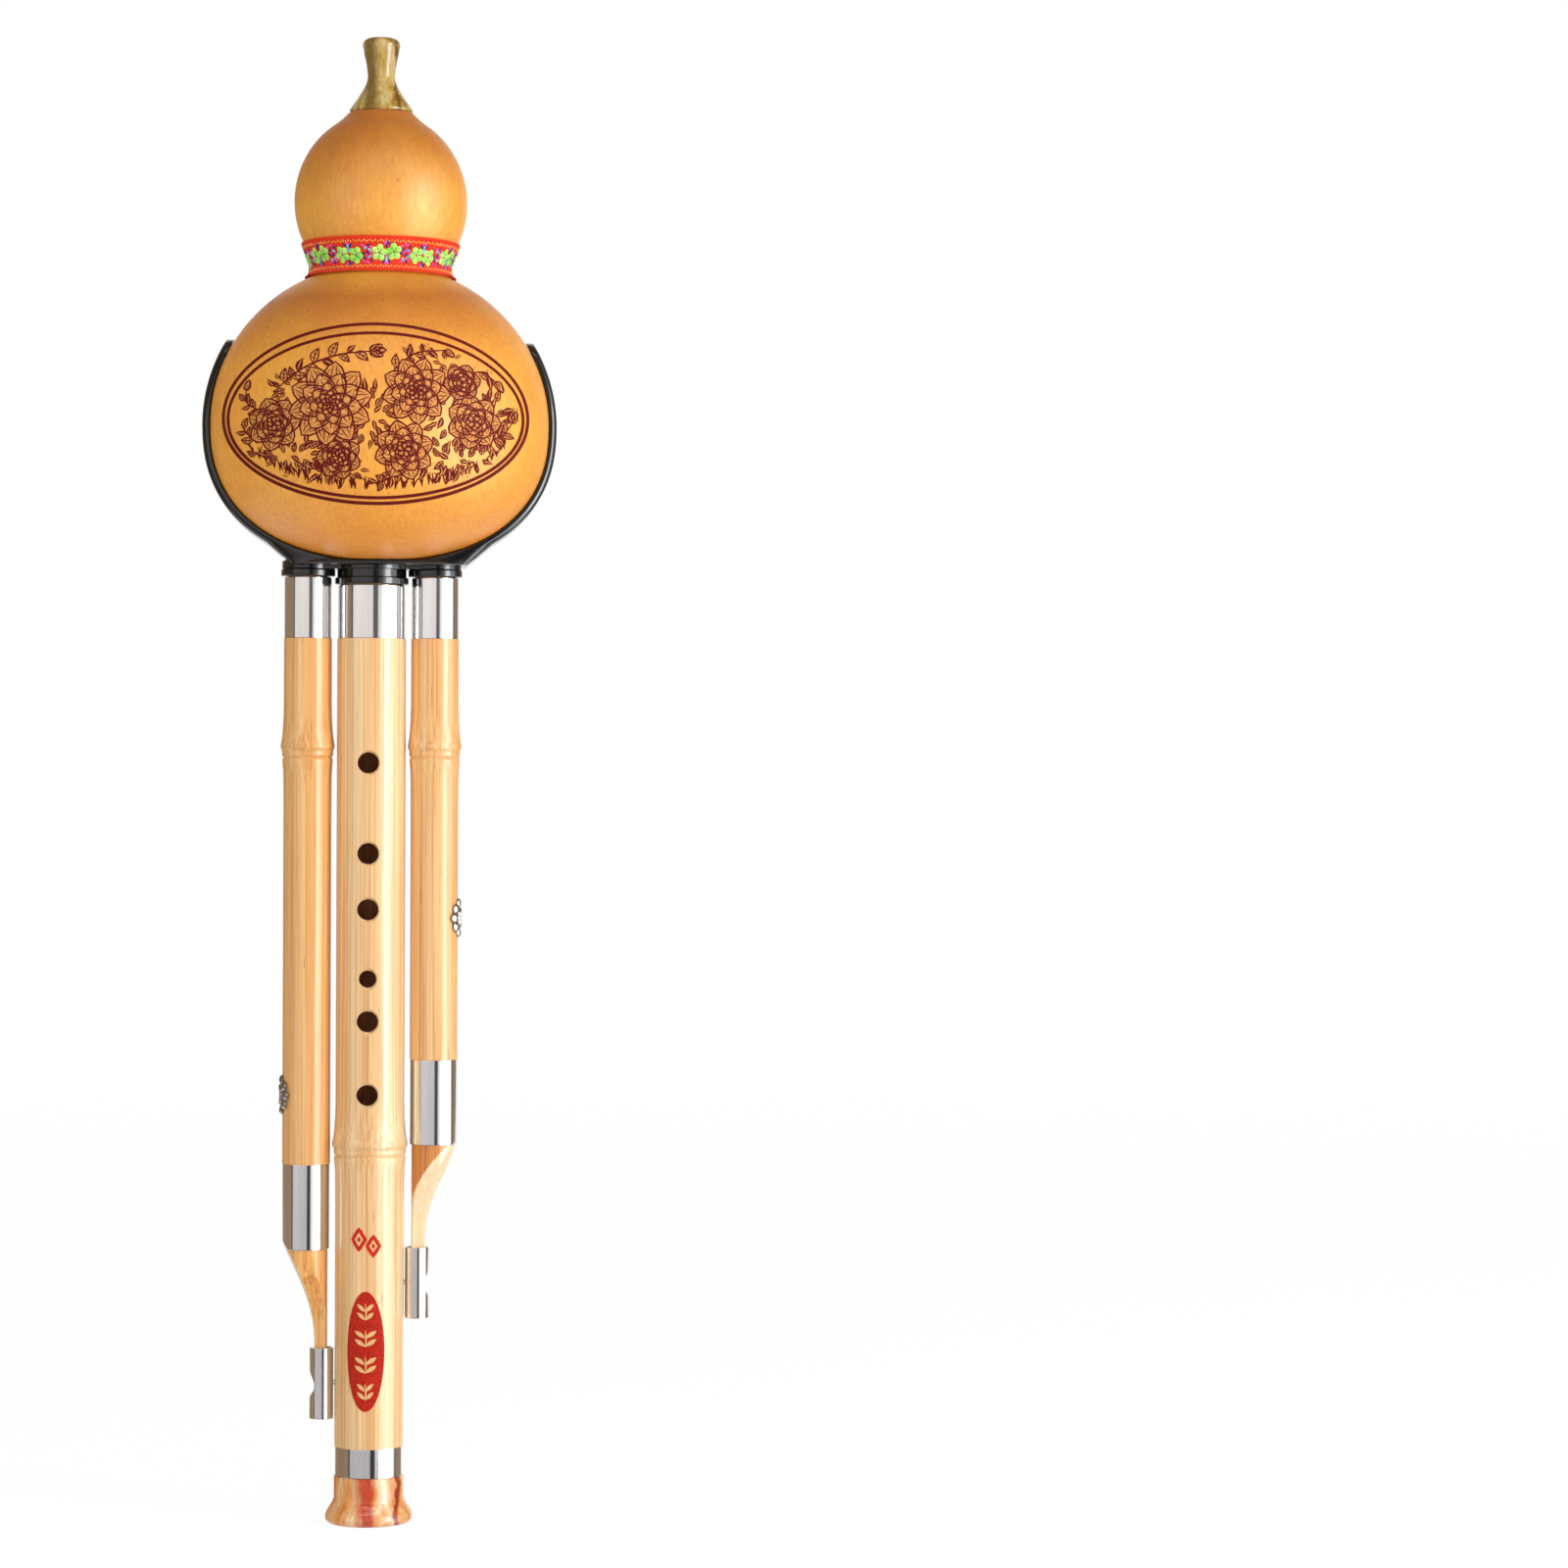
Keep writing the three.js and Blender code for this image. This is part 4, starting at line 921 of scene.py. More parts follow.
    def foliage(self, x, z, half_x, half_z, count, size):
        """A thick bush of small leaves that spread from its middle, dark and pale by turns."""
        for k in range(count):
            share = math.sqrt((k + 0.5) / count)
            angle = SPIRAL_TURN * k + rng.uniform(-0.3, 0.3)
            px, pz = x + half_x * share * math.cos(angle), z + half_z * share * math.sin(angle)
            lean = math.atan2(half_x * math.sin(angle), half_z * math.cos(angle)) + rng.uniform(-0.5, 0.5)
            self.leaf(px, pz, lean, size * rng.uniform(0.75, 1.2), 0.22, solid=k % 5 < 3)

    def grass(self, left, right, count, height):
        """Tufts that grow from just inside the lower edge."""
        for k in range(count):
            x = lerp(left, right, (k + rng.random()) / count)
            part = 1 - ((x - FRAME_X) / (INNER_OVAL[0] - GRASS_INSET)) ** 2
            if part <= 0:
                continue
            z = FRAME_Z - (INNER_OVAL[1] - GRASS_INSET) * math.sqrt(part)
            for _ in range(4):
                lean = rng.uniform(-0.7, 0.7)
                tall = height * rng.uniform(0.5, 1.1)
                bend = (x + lean * tall * 0.2, z + tall * 0.7)
                self.line(curve((x, z), bend, (x + lean * tall, z + tall), 6), EDGE_LINE)


# Left and right end, number of tufts, height
GRASS = (-38, 37, 40, 3.6)

# Middle, half width and height, number of leaves, their size
FOLIAGE = (
    (-27.0, 320.0, 9.5, 4.6, 44, 3.4), (-13.0, 315.5, 8.0, 3.2, 26, 3.0), (22.0, 319.0, 12.5, 4.4, 52, 3.4),
    (33.0, 331.0, 5.0, 7.0, 30, 3.4), (-2.5, 332.0, 7.0, 8.0, 40, 3.6), (20.0, 334.0, 7.0, 7.0, 36, 3.4),
    (-25.0, 340.0, 7.0, 3.6, 24, 3.2), (14.0, 348.0, 9.0, 3.0, 24, 3.0),
)

# Points, line width, number of leaves, their size
STEMS = (
    ([(-30, 340), (-22, 346), (-12, 349.5), (-3, 350.5)], 0.55, 10, 4.4),
    ([(3, 344), (10, 350), (19, 351.5)], 0.5, 6, 4.0),
    ([(22, 342), (29, 345.5), (34, 343)], 0.5, 6, 4.2),
    ([(-34, 333), (-39, 336), (-39.5, 340)], 0.45, 5, 3.6),
    ([(31, 325), (36, 327), (39, 331)], 0.45, 5, 3.8),
    ([(-36, 324), (-39, 327), (-41, 330)], 0.45, 4, 3.4),
    ([(6, 317), (2, 313), (-4, 311.5)], 0.5, 6, 3.8),
)

# Place, direction, size
BUDS = (
    (-3, 350.5, 0.1, 4.4), (19, 351.5, -0.2, 3.6), (34, 343, -0.5, 4.2), (39, 331, 1.2, 3.6),
    (-39.5, 340, 1.7, 3.4),
)

# Middle, size, petals in the outer ring, turn
SMALL_BLOSSOMS = (
    (27.5, 330.5, 7.6, 7, 0.9), (-31.0, 329.5, 7.4, 7, 0.1), (7.0, 321.5, 8.2, 8, 0.3),
    (24.0, 342.0, 5.2, 6, 0.2), (-12.0, 319.5, 6.2, 7, 0.5),
)
LARGE_BLOSSOMS = ((-14.5, 335.0, 11.6, 10, 0.2), (10.5, 339.0, 9.4, 9, 0.6))


def make_drawing():
    """Grass and bushes at the back, then stems, buds and small blossoms, and the large blossoms over all."""
    d = Drawing()
    d.grass(*GRASS)
    for bush in FOLIAGE:
        d.foliage(*bush)
    d.next_layer()
    for stem in STEMS:
        d.stem(*stem)
    for bud in BUDS:
        d.bud(*bud)
    for blossom in SMALL_BLOSSOMS:
        d.blossom(*blossom)
    d.next_layer()
    d.next_layer()
    for blossom in LARGE_BLOSSOMS:
        d.blossom(*blossom)
    for half, width, rise in zip((OUTER_OVAL, INNER_OVAL), OVAL_LINES, (OUTER_RISE, 0)):
        d.dark.stroke(oval(FRAME_X, FRAME_Z + rise, *half, 240), width, OVAL_LIFT, loop=True)
    d.dark.lay("gourd_drawing", MAROON_INK, "wind_chest", "gourd_skin")
    d.light.lay("gourd_drawing_tint", ROSE_INK, "wind_chest", "gourd_skin")


# Ribbon

# The ribbon is a little narrower than its solid.
TRIM_LOW = 0.6
TRIM_HIGH = 1.5
RIBBON_LOW = low("waist_ribbon", 2) + TRIM_LOW
RIBBON_HIGH = high("waist_ribbon", 2) - TRIM_HIGH
RIBBON_THICK = 0.6
RIBBON_EDGE = RIBBON_THICK * 0.35
RIBBON_ROWS = 16
RIBBON_STEPS = 256
SELVAGE = 0.05


def ribbon_line():
    """The ribbon's outer face from its lower to its upper edge, as (radius, height)."""
    face = [p for p in pushed_out(OUTLINE, GAP + RIBBON_THICK) if RIBBON_LOW - 1 < p[1] < RIBBON_HIGH + 1]
    heights = [lerp(RIBBON_LOW + SELVAGE, RIBBON_HIGH - SELVAGE, share) for share in shares(RIBBON_ROWS)]
    return [(radius_at(face, z), z) for z in heights]


def make_ribbon():
    """The band, with a map of its face for the weave: once round is 0 to 1, and so is its width."""
    face = ribbon_line()
    back = [(r - RIBBON_THICK, z) for r, z in reversed(face)]
    for end in (0, -1):
        face[end] = (face[end][0] - RIBBON_EDGE, face[end][1])
    loop = face + back
    points = []
    for i in range(RIBBON_STEPS):
        angle = 2 * math.pi * i / RIBBON_STEPS
        points += [(r * math.cos(angle), r * math.sin(angle), z) for r, z in loop]
    band = mesh_object("woven_ribbon", points, ring_faces(len(loop), RIBBON_STEPS, closed=True), RIBBON)
    grid = band.data.uv_layers.new(name="weave")
    for polygon in band.data.polygons:
        middle_angle = math.atan2(polygon.center.y, polygon.center.x)
        for loop_index in polygon.loop_indices:
            corner = band.data.vertices[band.data.loops[loop_index].vertex_index].co
            angle = math.atan2(corner.y, corner.x)
            angle += 2 * math.pi * round((middle_angle - angle) / (2 * math.pi))
            up = (corner.z / MM - RIBBON_LOW) / (RIBBON_HIGH - RIBBON_LOW)
            grid.data[loop_index].uv = (angle / (2 * math.pi) + 0.5, up)
    settle(band, "wind_chest", "red_ribbon", "waist_ribbon")
    return band, face


THREAD_SINK = 0.08
EDGE_STITCHES = 176
EDGE_ROWS = (RIBBON_LOW + 1.5, RIBBON_HIGH - 1.6)
EDGE_SWAY = 0.14
CLOVER_PAIRS = 12
FIRST_PAIR = 0.15
PAIR_RISE = 0.35
CLOVER_APART = 2.2
CLOVER_RISE = 0.15
CLOVER_LEAN = 10
PETAL_REACH = (1.3, 1.45)
CREASE_REACH = (1.0, 1.1)

# Half length, half width, points, lift and crown of each kind of stitch
EDGE_STITCH = (0.2, 0.34, 8, 0.06, 0.1)
CLOVER_PETAL = (1.08, 0.94, 14, 0.1, 0.28)
CREASE = (0.34, 0.13, 8, 0.24, 0.08)
HEART = (0.42, 0.42, 8, 0.16, 0.12)
EYE = (0.2, 0.2, 8, 0.28, 0.08)
STITCH = (0.8, 0.38, 10, 0.1, 0.16)
CHIP = (0.68, 0.34, 10, 0.1, 0.16)

# Across and up from the middle, lean and thread: first beside each pair of clovers, then between the pairs
STITCHES = (
    (0.0, -2.3, 1.57, "blue"), (0.0, -1.3, 1.57, "blue"), (-0.75, -2.6, 0.9, "plum"),
    (0.75, -2.6, -0.9, "plum"), (0.0, 1.9, 1.57, "plum"), (-0.5, 2.6, 0.8, "pink"),
    (0.5, 2.7, -0.8, "plum"), (0.0, -3.1, 0.2, "pink"),
)
CHIPS = (
    (-1.5, 2.1, 0.7, "pink"), (-0.9, 1.3, 0.8, "plum"), (-0.35, 0.6, 0.9, "pink"), (0.2, -0.2, 0.8, "plum"),
    (0.75, -0.9, 0.9, "blue"), (1.25, -1.7, 0.7, "pink"), (0.5, -2.3, -0.5, "plum"),
    (-0.6, -1.5, -0.7, "blue"), (-1.3, -2.2, 0.3, "pink"), (0.7, 1.0, -0.5, "blue"), (1.2, 2.0, 1.2, "plum"),
    (-0.1, 2.6, 0.3, "pink"), (-1.2, 0.1, -0.4, "plum"), (1.4, 0.2, 0.4, "pink"),
)


def make_embroidery(face):
    """Gold edge stitches, pairs of clover flowers and the bits of colour between them."""
    waist = face[RIBBON_ROWS // 2][0]
    around = 2 * math.pi * waist
    centre_z = (RIBBON_LOW + RIBBON_HIGH) / 2

    def place(s, z, lift):
        across = radius_at(face, z) + lift
        angle = s / waist - math.pi / 2
        return Vector((across * math.cos(angle), across * math.sin(angle), z))

    threads = {name: Relief(place, THREAD_SINK) for name in ("gold", "lime", "blue", "plum", "pink")}

    def stitch(thread, s, z, kind, turn=0.0):
        half_x, half_z, count, lift, crown = kind
        threads[thread].patch(oval(s, z, half_x, half_z, count, turn), lift, crown)

    def clover(s, z, first):
        """Five petals with a crease between each two, from a first angle in degrees."""
        for petal in range(5):
            for thread, kind, (out, up), between in (
                ("lime", CLOVER_PETAL, PETAL_REACH, 0), ("plum", CREASE, CREASE_REACH, 36),
            ):
                angle = math.radians(72 * petal + between + first)
                stitch(thread, s + out * math.cos(angle), z + up * math.sin(angle), kind, angle)
        stitch("plum", s, z, HEART)
        stitch("gold", s, z, EYE)

    for z in EDGE_ROWS:
        for k in range(EDGE_STITCHES):
            stitch("gold", around * k / EDGE_STITCHES, z + EDGE_SWAY * (-1) ** k, EDGE_STITCH)
    pitch = around / CLOVER_PAIRS
    for k in range(CLOVER_PAIRS):
        s = (k + FIRST_PAIR) * pitch
        flip = -1 if k % 2 else 1
        middle_z = centre_z + flip * PAIR_RISE
        for side in (-1, 1):
            z = middle_z + CLOVER_RISE * side * flip
            clover(s + side * CLOVER_APART, z, flip * 90 + side * CLOVER_LEAN)
        for across, up, lean, thread in STITCHES:
            stitch(thread, s + across, middle_z + flip * up, STITCH, flip * lean)
        gap = s + pitch / 2
        for across, up, lean, thread in CHIPS:
            stitch(thread, gap + across, centre_z + flip * up, CHIP, flip * lean)
    return [
        threads[thread].lay(name, material, "wind_chest", "red_ribbon")
        for thread, name, material in (
            ("gold", "gold_stitches", GOLD_THREAD), ("lime", "clover_petals", LIME_THREAD),
            ("blue", "blue_stitches", BLUE_THREAD), ("plum", "plum_stitches", PLUM_THREAD),
            ("pink", "pink_stitches", PINK_THREAD),
        )
    ]


def make_dressed_ribbon():
    """The ribbon with its stitches."""
    ribbon, face = make_ribbon()
    stitches = make_embroidery(face)


# Cradle

CRADLE_WALL = 2.0
FOOT_RADIUS = 28.4
SHOULDER_RADIUS = 41.4
SHOULDER_RISE = 12.0
FOOT_HALF = high("cradle", 1)
TIP_HALF = 5.0
TIP_Z = high("cradle", 2)
FLOOR_STEPS = 12
SIDE_STEPS = 60
SIDE_BUNCHING = 1.1
TIP_POINT = 0.2
EDGE_SHARE = 0.45
BOSS_EDGE = 0.35
WEB_HALF = 6.5
WEB_TOP = FLOOR_Z + 0.4

# Corners of the strap's section: share of its thickness, greatest width, inside first and then outside
STRAP_CORNERS = ((0.16, 0.4), (0.78, 1.9))


def strap_stations():
    """(inner radius, outer radius, inner height, outer height, half width), from mid floor to a tip."""
    inner = pushed_out(OUTLINE, GAP)
    outer = pushed_out(OUTLINE, GAP + CRADLE_WALL)
    floor_top = CUT_Z - GAP
    straight = TIP_Z - TIP_HALF
    stations = []
    for share in shares(FLOOR_STEPS):
        across = lerp(0, FOOT_RADIUS, share)
        stations.append((across * inner[0][0] / FOOT_RADIUS, across, floor_top, FLOOR_Z, FOOT_HALF))
    for share in shares(SIDE_STEPS)[1:]:
        z = lerp(FLOOR_Z, TIP_Z, share ** SIDE_BUNCHING)
        rise = z - FLOOR_Z
        cone = lerp(FOOT_RADIUS, SHOULDER_RADIUS, rise / SHOULDER_RISE)
        wall = radius_at(outer, z)
        across = max(wall, min(cone, SHOULDER_RADIUS)) if rise < SHOULDER_RISE else wall
        half = lerp(FOOT_HALF, TIP_HALF, min(rise / (straight - FLOOR_Z), 1))
        if z > straight:
            half = math.sqrt(max(TIP_HALF ** 2 - (z - straight) ** 2, TIP_POINT ** 2))
        inner_z = max(z, floor_top + 0.02)
        stations.append((radius_at(inner, inner_z), across, inner_z, z, half))
    return stations


def strap_section(station, side, steps=7):
    """A ring of points round the strap's cross-section: broad rounded edges outside and small ones inside."""
    inner_r, outer_r, inner_z, outer_z, half = station
    thick = Vector((outer_r - inner_r, outer_z - inner_z)).length
    points = []
    for n, (across, out) in enumerate(((1, 1), (-1, 1), (-1, 0), (1, 0))):
        share, widest = STRAP_CORNERS[out]
        deep = thick * share
        wide = min(widest, half * EDGE_SHARE)
        for i in range(steps + 1):
            angle = math.pi / 2 * (n + i / steps)
            y = across * (half - wide) + wide * math.cos(angle)
            t = ((thick - deep if out else deep) + deep * math.sin(angle)) / thick
            reach = lerp(inner_r, outer_r, t)
            if outer_r <= FOOT_RADIUS and outer_z <= FLOOR_Z + 0.01:
                x = reach * math.sqrt(1 - (y / FOOT_RADIUS) ** 2)
            else:
                x = math.sqrt(max(reach * reach - y * y, 0))
            points.append((side * x, y, lerp(inner_z, outer_z, t)))
    return points


def make_cradle():
    """The strap and the web under its floor, both drilled for the sockets, and a boss round each socket."""
    stations = strap_stations()
    rings = [strap_section(s, -1) for s in reversed(stations)] + [strap_section(s, 1) for s in stations[1:]]
    count = len(rings[0])
    points = [p for ring in rings for p in ring]
    faces = ring_faces(count, len(rings))
    faces.append(list(range(count)))
    faces.append([(len(rings) - 1) * count + k for k in range(count)])
    strap = mesh_object("cradle_strap", points, faces, BLACK)
    seats = [(s["spigot"] + GLUE, s["x"]) for s in SOCKETS.values()]
    bosses = [
        tube("boss", seat, seat + BOSS_WALL, BOSS_Z, CUT_Z - GAP, BLACK, x, BOSS_EDGE) for seat, x in seats
    ]
    web = block("web", SOCKETS["left"]["x"], SOCKETS["right"]["x"], BOSS_Z, WEB_TOP, WEB_HALF, BLACK)
    for body in (strap, web):
        cut(body, [tube("drill", 0, seat, BOSS_Z - BEYOND, CUT_Z + BEYOND, BLACK, x) for seat, x in seats])
    settle(joined("cradle_body", [strap, web, *bosses]), "wind_chest", "black_resin", "cradle")


# Sockets, corks and mouthpiece

SOCKET_RIM = 2.1
SOCKET_STOP = (3, 1.5)
SOCKET_EDGE = 0.5
MAIN_NECK = radius("main_socket") - 0.7


def make_socket(name, neck=None):
    """A stepped collar with a stop for the pipe at its top, and a neck over its rim where one is given."""
    node = f"{name}_socket"
    x, bore, spigot = SOCKETS[name].values()
    (bottom, top), rim = ends(node), radius(node)
    outline = [(bore, bottom), (rim, bottom)]
    if neck:
        outline += [(rim, bottom + SOCKET_RIM), (neck, bottom + SOCKET_RIM), (neck, BOSS_Z)]
    else:
        outline += [(rim, BOSS_Z)]
    stop_wide, stop_tall = SOCKET_STOP
    outline += [(spigot, BOSS_Z), (spigot, top), (bore - stop_wide, top)]
    outline += [(bore - stop_wide, top - stop_tall), (bore, top - stop_tall)]
    collar = turned(f"{name}_collar", rounded(outline, SOCKET_EDGE), BLACK, x)
    settle(collar, "wind_chest", "black_resin", node)


SLEEVE_EDGE = 0.25
FERRULE_WALL = 0.6


def make_sleeve(node, material, slot, body, inner):
    """A sleeve with softened edges, made to the size of its node."""
    sleeve = tube(f"{node}_sleeve", inner, radius(node), *ends(node), material, middle(node, 0), SLEEVE_EDGE)
    settle(sleeve, body, slot, node)


def make_ferrule(node, body):
    make_sleeve(node, CHROME, "chrome", body, radius(node) - FERRULE_WALL)


# The stem's side, as shares of the flange's radius and of the height over the flange
STEM = ((0.885, 0.118), (0.72, 0.22), (0.52, 0.36), (0.435, 0.47), (0.45, 0.58), (0.49, 0.69), (0.54, 0.78))
LIP_RADIUS = 5.7
LIP_ROUND = 2.1
BLOW_BORE = 3.1
BLOW_EDGE = (0.5, 0.8)
TENON_TIP = 5.0
TENON = 5.8
TENON_LEAD = 0.8
FLANGE_EDGE = (0.9, 1)


def make_mouthpiece():
    tenon_z, top = ends("mouthpiece")
    flange = radius("mouthpiece")
    tall = top - TOP_Z
    edge_in, edge_up = FLANGE_EDGE
    outline = [(BLOW_BORE, tenon_z), (TENON_TIP, tenon_z), (TENON, tenon_z + TENON_LEAD), (TENON, TOP_Z)]
    outline += curve((flange - edge_in, TOP_Z), (flange, TOP_Z), (flange, TOP_Z + edge_up), 4)[:-1]
    side = [(flange, TOP_Z + edge_up), *((flange * across, TOP_Z + tall * up) for across, up in STEM)]
    outline += smooth_line(side, 8)
    lip = (LIP_RADIUS - LIP_ROUND, top - LIP_ROUND)
    outline += arc(lip, LIP_ROUND, LIP_ROUND, -0.15 * math.pi, math.pi / 2, 16)
    wide, deep = BLOW_EDGE
    outline += curve((BLOW_BORE + wide, top), (BLOW_BORE, top), (BLOW_BORE, top - deep), 4)
    piece = turned("horn_mouthpiece", outline, LIP_HORN, middle("mouthpiece", 0))
    settle(piece, "blowing_end", "horn_resin", "mouthpiece")


# Pipes

PIPE_X = middle("main_pipe", 0)
PIPE_RADIUS = 10.4
PIPE_LOW = high("main_bottom_ferrule", 2)
PIPE_HIGH = low("main_top_ferrule", 2)
PIPE_BORE = 6.5
PIPE_TENON = 8.2
PIPE_NODE_Z = PIPE_LOW + 91.6
PIPE_NODE_SWELL = 1.0
PIPE_CORK = 8.35
CHAMFER = 0.6
CHAMFER_PAST = 3

# How squarely a face looks away from its pipe's axis: skin above the first, the side of a hole below the
# second, and a hole's chamfer above the third
SKIN = 0.93
WALL_SIDE = 0.9
CHAMFER_SIDE = 0.3
INSIDE_BY = 0.1

# Finger holes by their share of the pipe's height and their size, to one side of the middle
FINGER_X = -0.85
FINGER_RADIUS = 3.2
FINGER_HOLES = ((0.8596, 1), (0.7573, 1), (0.6942, 1), (0.6161, 0.82), (0.568, 1), (0.4851, 1))
BACK_HOLES = ((0.917, 3.2, 0), (0.36, 2.6, 0), (0.302, 1.6, -2.5), (0.302, 1.6, 2.5))
HOLE_REACH = 4.2

# Heights from the node and shares of its swelling
NODE_SWELL = (
    (-20, 0), (-12, 0.05), (-7.5, 0.16), (-5.6, 0.34), (-4.6, 0.42), (-3.9, 0.34), (-3.5, 0.06),
    (-3.1, 0.36), (-2.6, 0.52), (-1.9, 0.5), (-1.3, 0.62), (-0.7, 0.92), (0, 1), (0.7, 0.9), (2, 0.66),
    (4, 0.42), (8, 0.14), (13, 0),
)


def bamboo_line(across, bottom, top, node_z, bulge):
    """One length of bamboo, with a ridge at its node, a groove under that and a longer swelling below."""
    swell = [(across + bulge * share, node_z + rise) for rise, share in NODE_SWELL]
    return [(across, bottom), *smooth_line(swell, 4), (across, top)]


def hole_tool(size, x, z, side):
    """A drill with a chamfering cone, pointing into the front (-1) or back (+1) of the melody pipe."""
    mouth = math.sqrt(PIPE_RADIUS ** 2 - x ** 2)
    end = mouth + CHAMFER_PAST
    outline = [(0, 1), (size, 1), (size, mouth - CHAMFER), (size + CHAMFER + CHAMFER_PAST, end), (0, end)]
    return moved(turned("drill", outline, BORE, steps=48), PIPE_X + x, 0, z, -side * 90, "X")


def make_main_pipe():
    seat = radius("main_top_ferrule") - FERRULE_WALL - GLUE
    bottom, top = ends("main_pipe")
    ferrule_top = high("main_top_ferrule", 2)
    outline = [(PIPE_BORE, bottom), (seat, bottom), (seat, PIPE_LOW)]
    outline += bamboo_line(PIPE_RADIUS, PIPE_LOW, PIPE_HIGH, PIPE_NODE_Z, PIPE_NODE_SWELL)
    outline += [(seat, PIPE_HIGH), (seat, ferrule_top), (PIPE_TENON, ferrule_top)]
    outline += [(PIPE_TENON, top), (PIPE_BORE, top)]
    pipe = turned("melody_pipe_bamboo", outline, MAIN_BAMBOO, PIPE_X)
    tools = [hole_tool(FINGER_RADIUS * size, FINGER_X, PIPE_HIGH * share, -1) for share, size in FINGER_HOLES]
    tools += [hole_tool(size, x, PIPE_HIGH * share, 1) for share, size, x in BACK_HOLES]
    cut(pipe, tools)
    heights = [PIPE_HIGH * share for share, *_ in FINGER_HOLES + BACK_HOLES]

    def choose(centre, normal):
        across, outward = facing(centre, normal, PIPE_X)
        near = min(abs(centre.z - z) for z in heights) < HOLE_REACH
        if across < seat - INSIDE_BY and outward < WALL_SIDE:
            return BORE
        if not near or outward > SKIN:
            return MAIN_BAMBOO
        return RIM_BAMBOO if outward > CHAMFER_SIDE else BORE

    repaint(pipe, [MAIN_BAMBOO, RIM_BAMBOO, BORE], choose)
    settle(pipe, "melody_pipe", "pale_bamboo", "main_pipe")


BELL_NECK = 10.55
BELL_SOCKET_Z = 6.0
BELL_STRAIGHT_Z = 8.0
BELL_LIP = 4.0
BELL_EDGE = 2
BELL_THROAT = 7
BELL_FOOT = 3.2
BELL_RIM = 0.3
BELL_STEP = 0.1
CORNER_POINTS = 6


def make_bell():
    seat = radius("main_bottom_ferrule") - FERRULE_WALL
    mouth, top = radius("bell"), high("bell", 2)
    neck, straight = BELL_NECK, BELL_STRAIGHT_Z
    outline = curve((mouth - BELL_EDGE, 0), (mouth, 0), (mouth, BELL_EDGE), 8)
    bend = (neck, (straight + BELL_LIP) / 2)
    outline += cubic((mouth, BELL_EDGE), (mouth, BELL_LIP), bend, (neck, straight), 20)[1:]
    # Of the upper end only its two upper corners are wanted, each with the points that rounding gives it.
    upper_end = [(neck, straight + BELL_STEP), (neck, top), (seat, top), (seat, straight)]
    outline += rounded(upper_end, BELL_RIM)[CORNER_POINTS:-CORNER_POINTS]
    outline += [(seat, BELL_SOCKET_Z)]
    outline += curve((BELL_THROAT, BELL_SOCKET_Z), (BELL_THROAT, BELL_EDGE), (mouth - BELL_FOOT, 0), 12)
    piece = turned("horn_bell", outline, BELL_HORN, middle("bell", 0))
    settle(piece, "melody_pipe", "horn_resin", "bell")


# Drones

DRONES = {
    "left": {"side": -1, "scarf": 86.0, "turn": 8, "bamboo": LEFT_BAMBOO, "tail": LEFT_TAIL},
    "right": {"side": 1, "scarf": 116.3, "turn": 14, "bamboo": RIGHT_BAMBOO, "tail": RIGHT_TAIL},
}
DRONE_RADIUS = 7.25
DRONE_BORE = 4
DRONE_TENON = 5.2
DRONE_CORK = 5.35
DRONE_NODE_DROP = 32.5
DRONE_NODE_SWELL = 0.9
VENT_RADIUS = 2.2
VENT_REACH = (2, 12)
SCARF_LENGTH = 31.0
SCARF_BENDS = ((0.275, 0.21), (0.951, 0.548))
TONGUE_X = 2.9
SCARF_X = 7.3
TAIL_RADIUS = 6.6
TONGUE_HALF = 2.2
TONGUE_DROP = 26
WIDE_DROP = 5
TONGUE_BEND = 9
WIDE_BEND = 8
TAIL_SKIN = 0.4
NARROWED_SIDE = 0.7


def scarf_tool(inward, scarf_z, turn, bottom_z, x):
    """What the slanted cut takes away. Inward is towards the melody pipe, and turn is towards the front."""
    reach = DRONE_RADIUS + BEYOND
    width = TONGUE_X + SCARF_X
    a, b = ((inward * (width * out - SCARF_X), scarf_z - SCARF_LENGTH * down) for out, down in SCARF_BENDS)
    line = [(-inward * reach, scarf_z)]
    line += cubic((-inward * SCARF_X, scarf_z), a, b, (inward * TONGUE_X, scarf_z - SCARF_LENGTH), 28)
    line += [(inward * TONGUE_X, bottom_z - BEYOND), (-inward * reach, bottom_z - BEYOND)]
    return moved(prism("scarf", line, reach, "y", CUT_BAMBOO), x, turn=inward * turn)


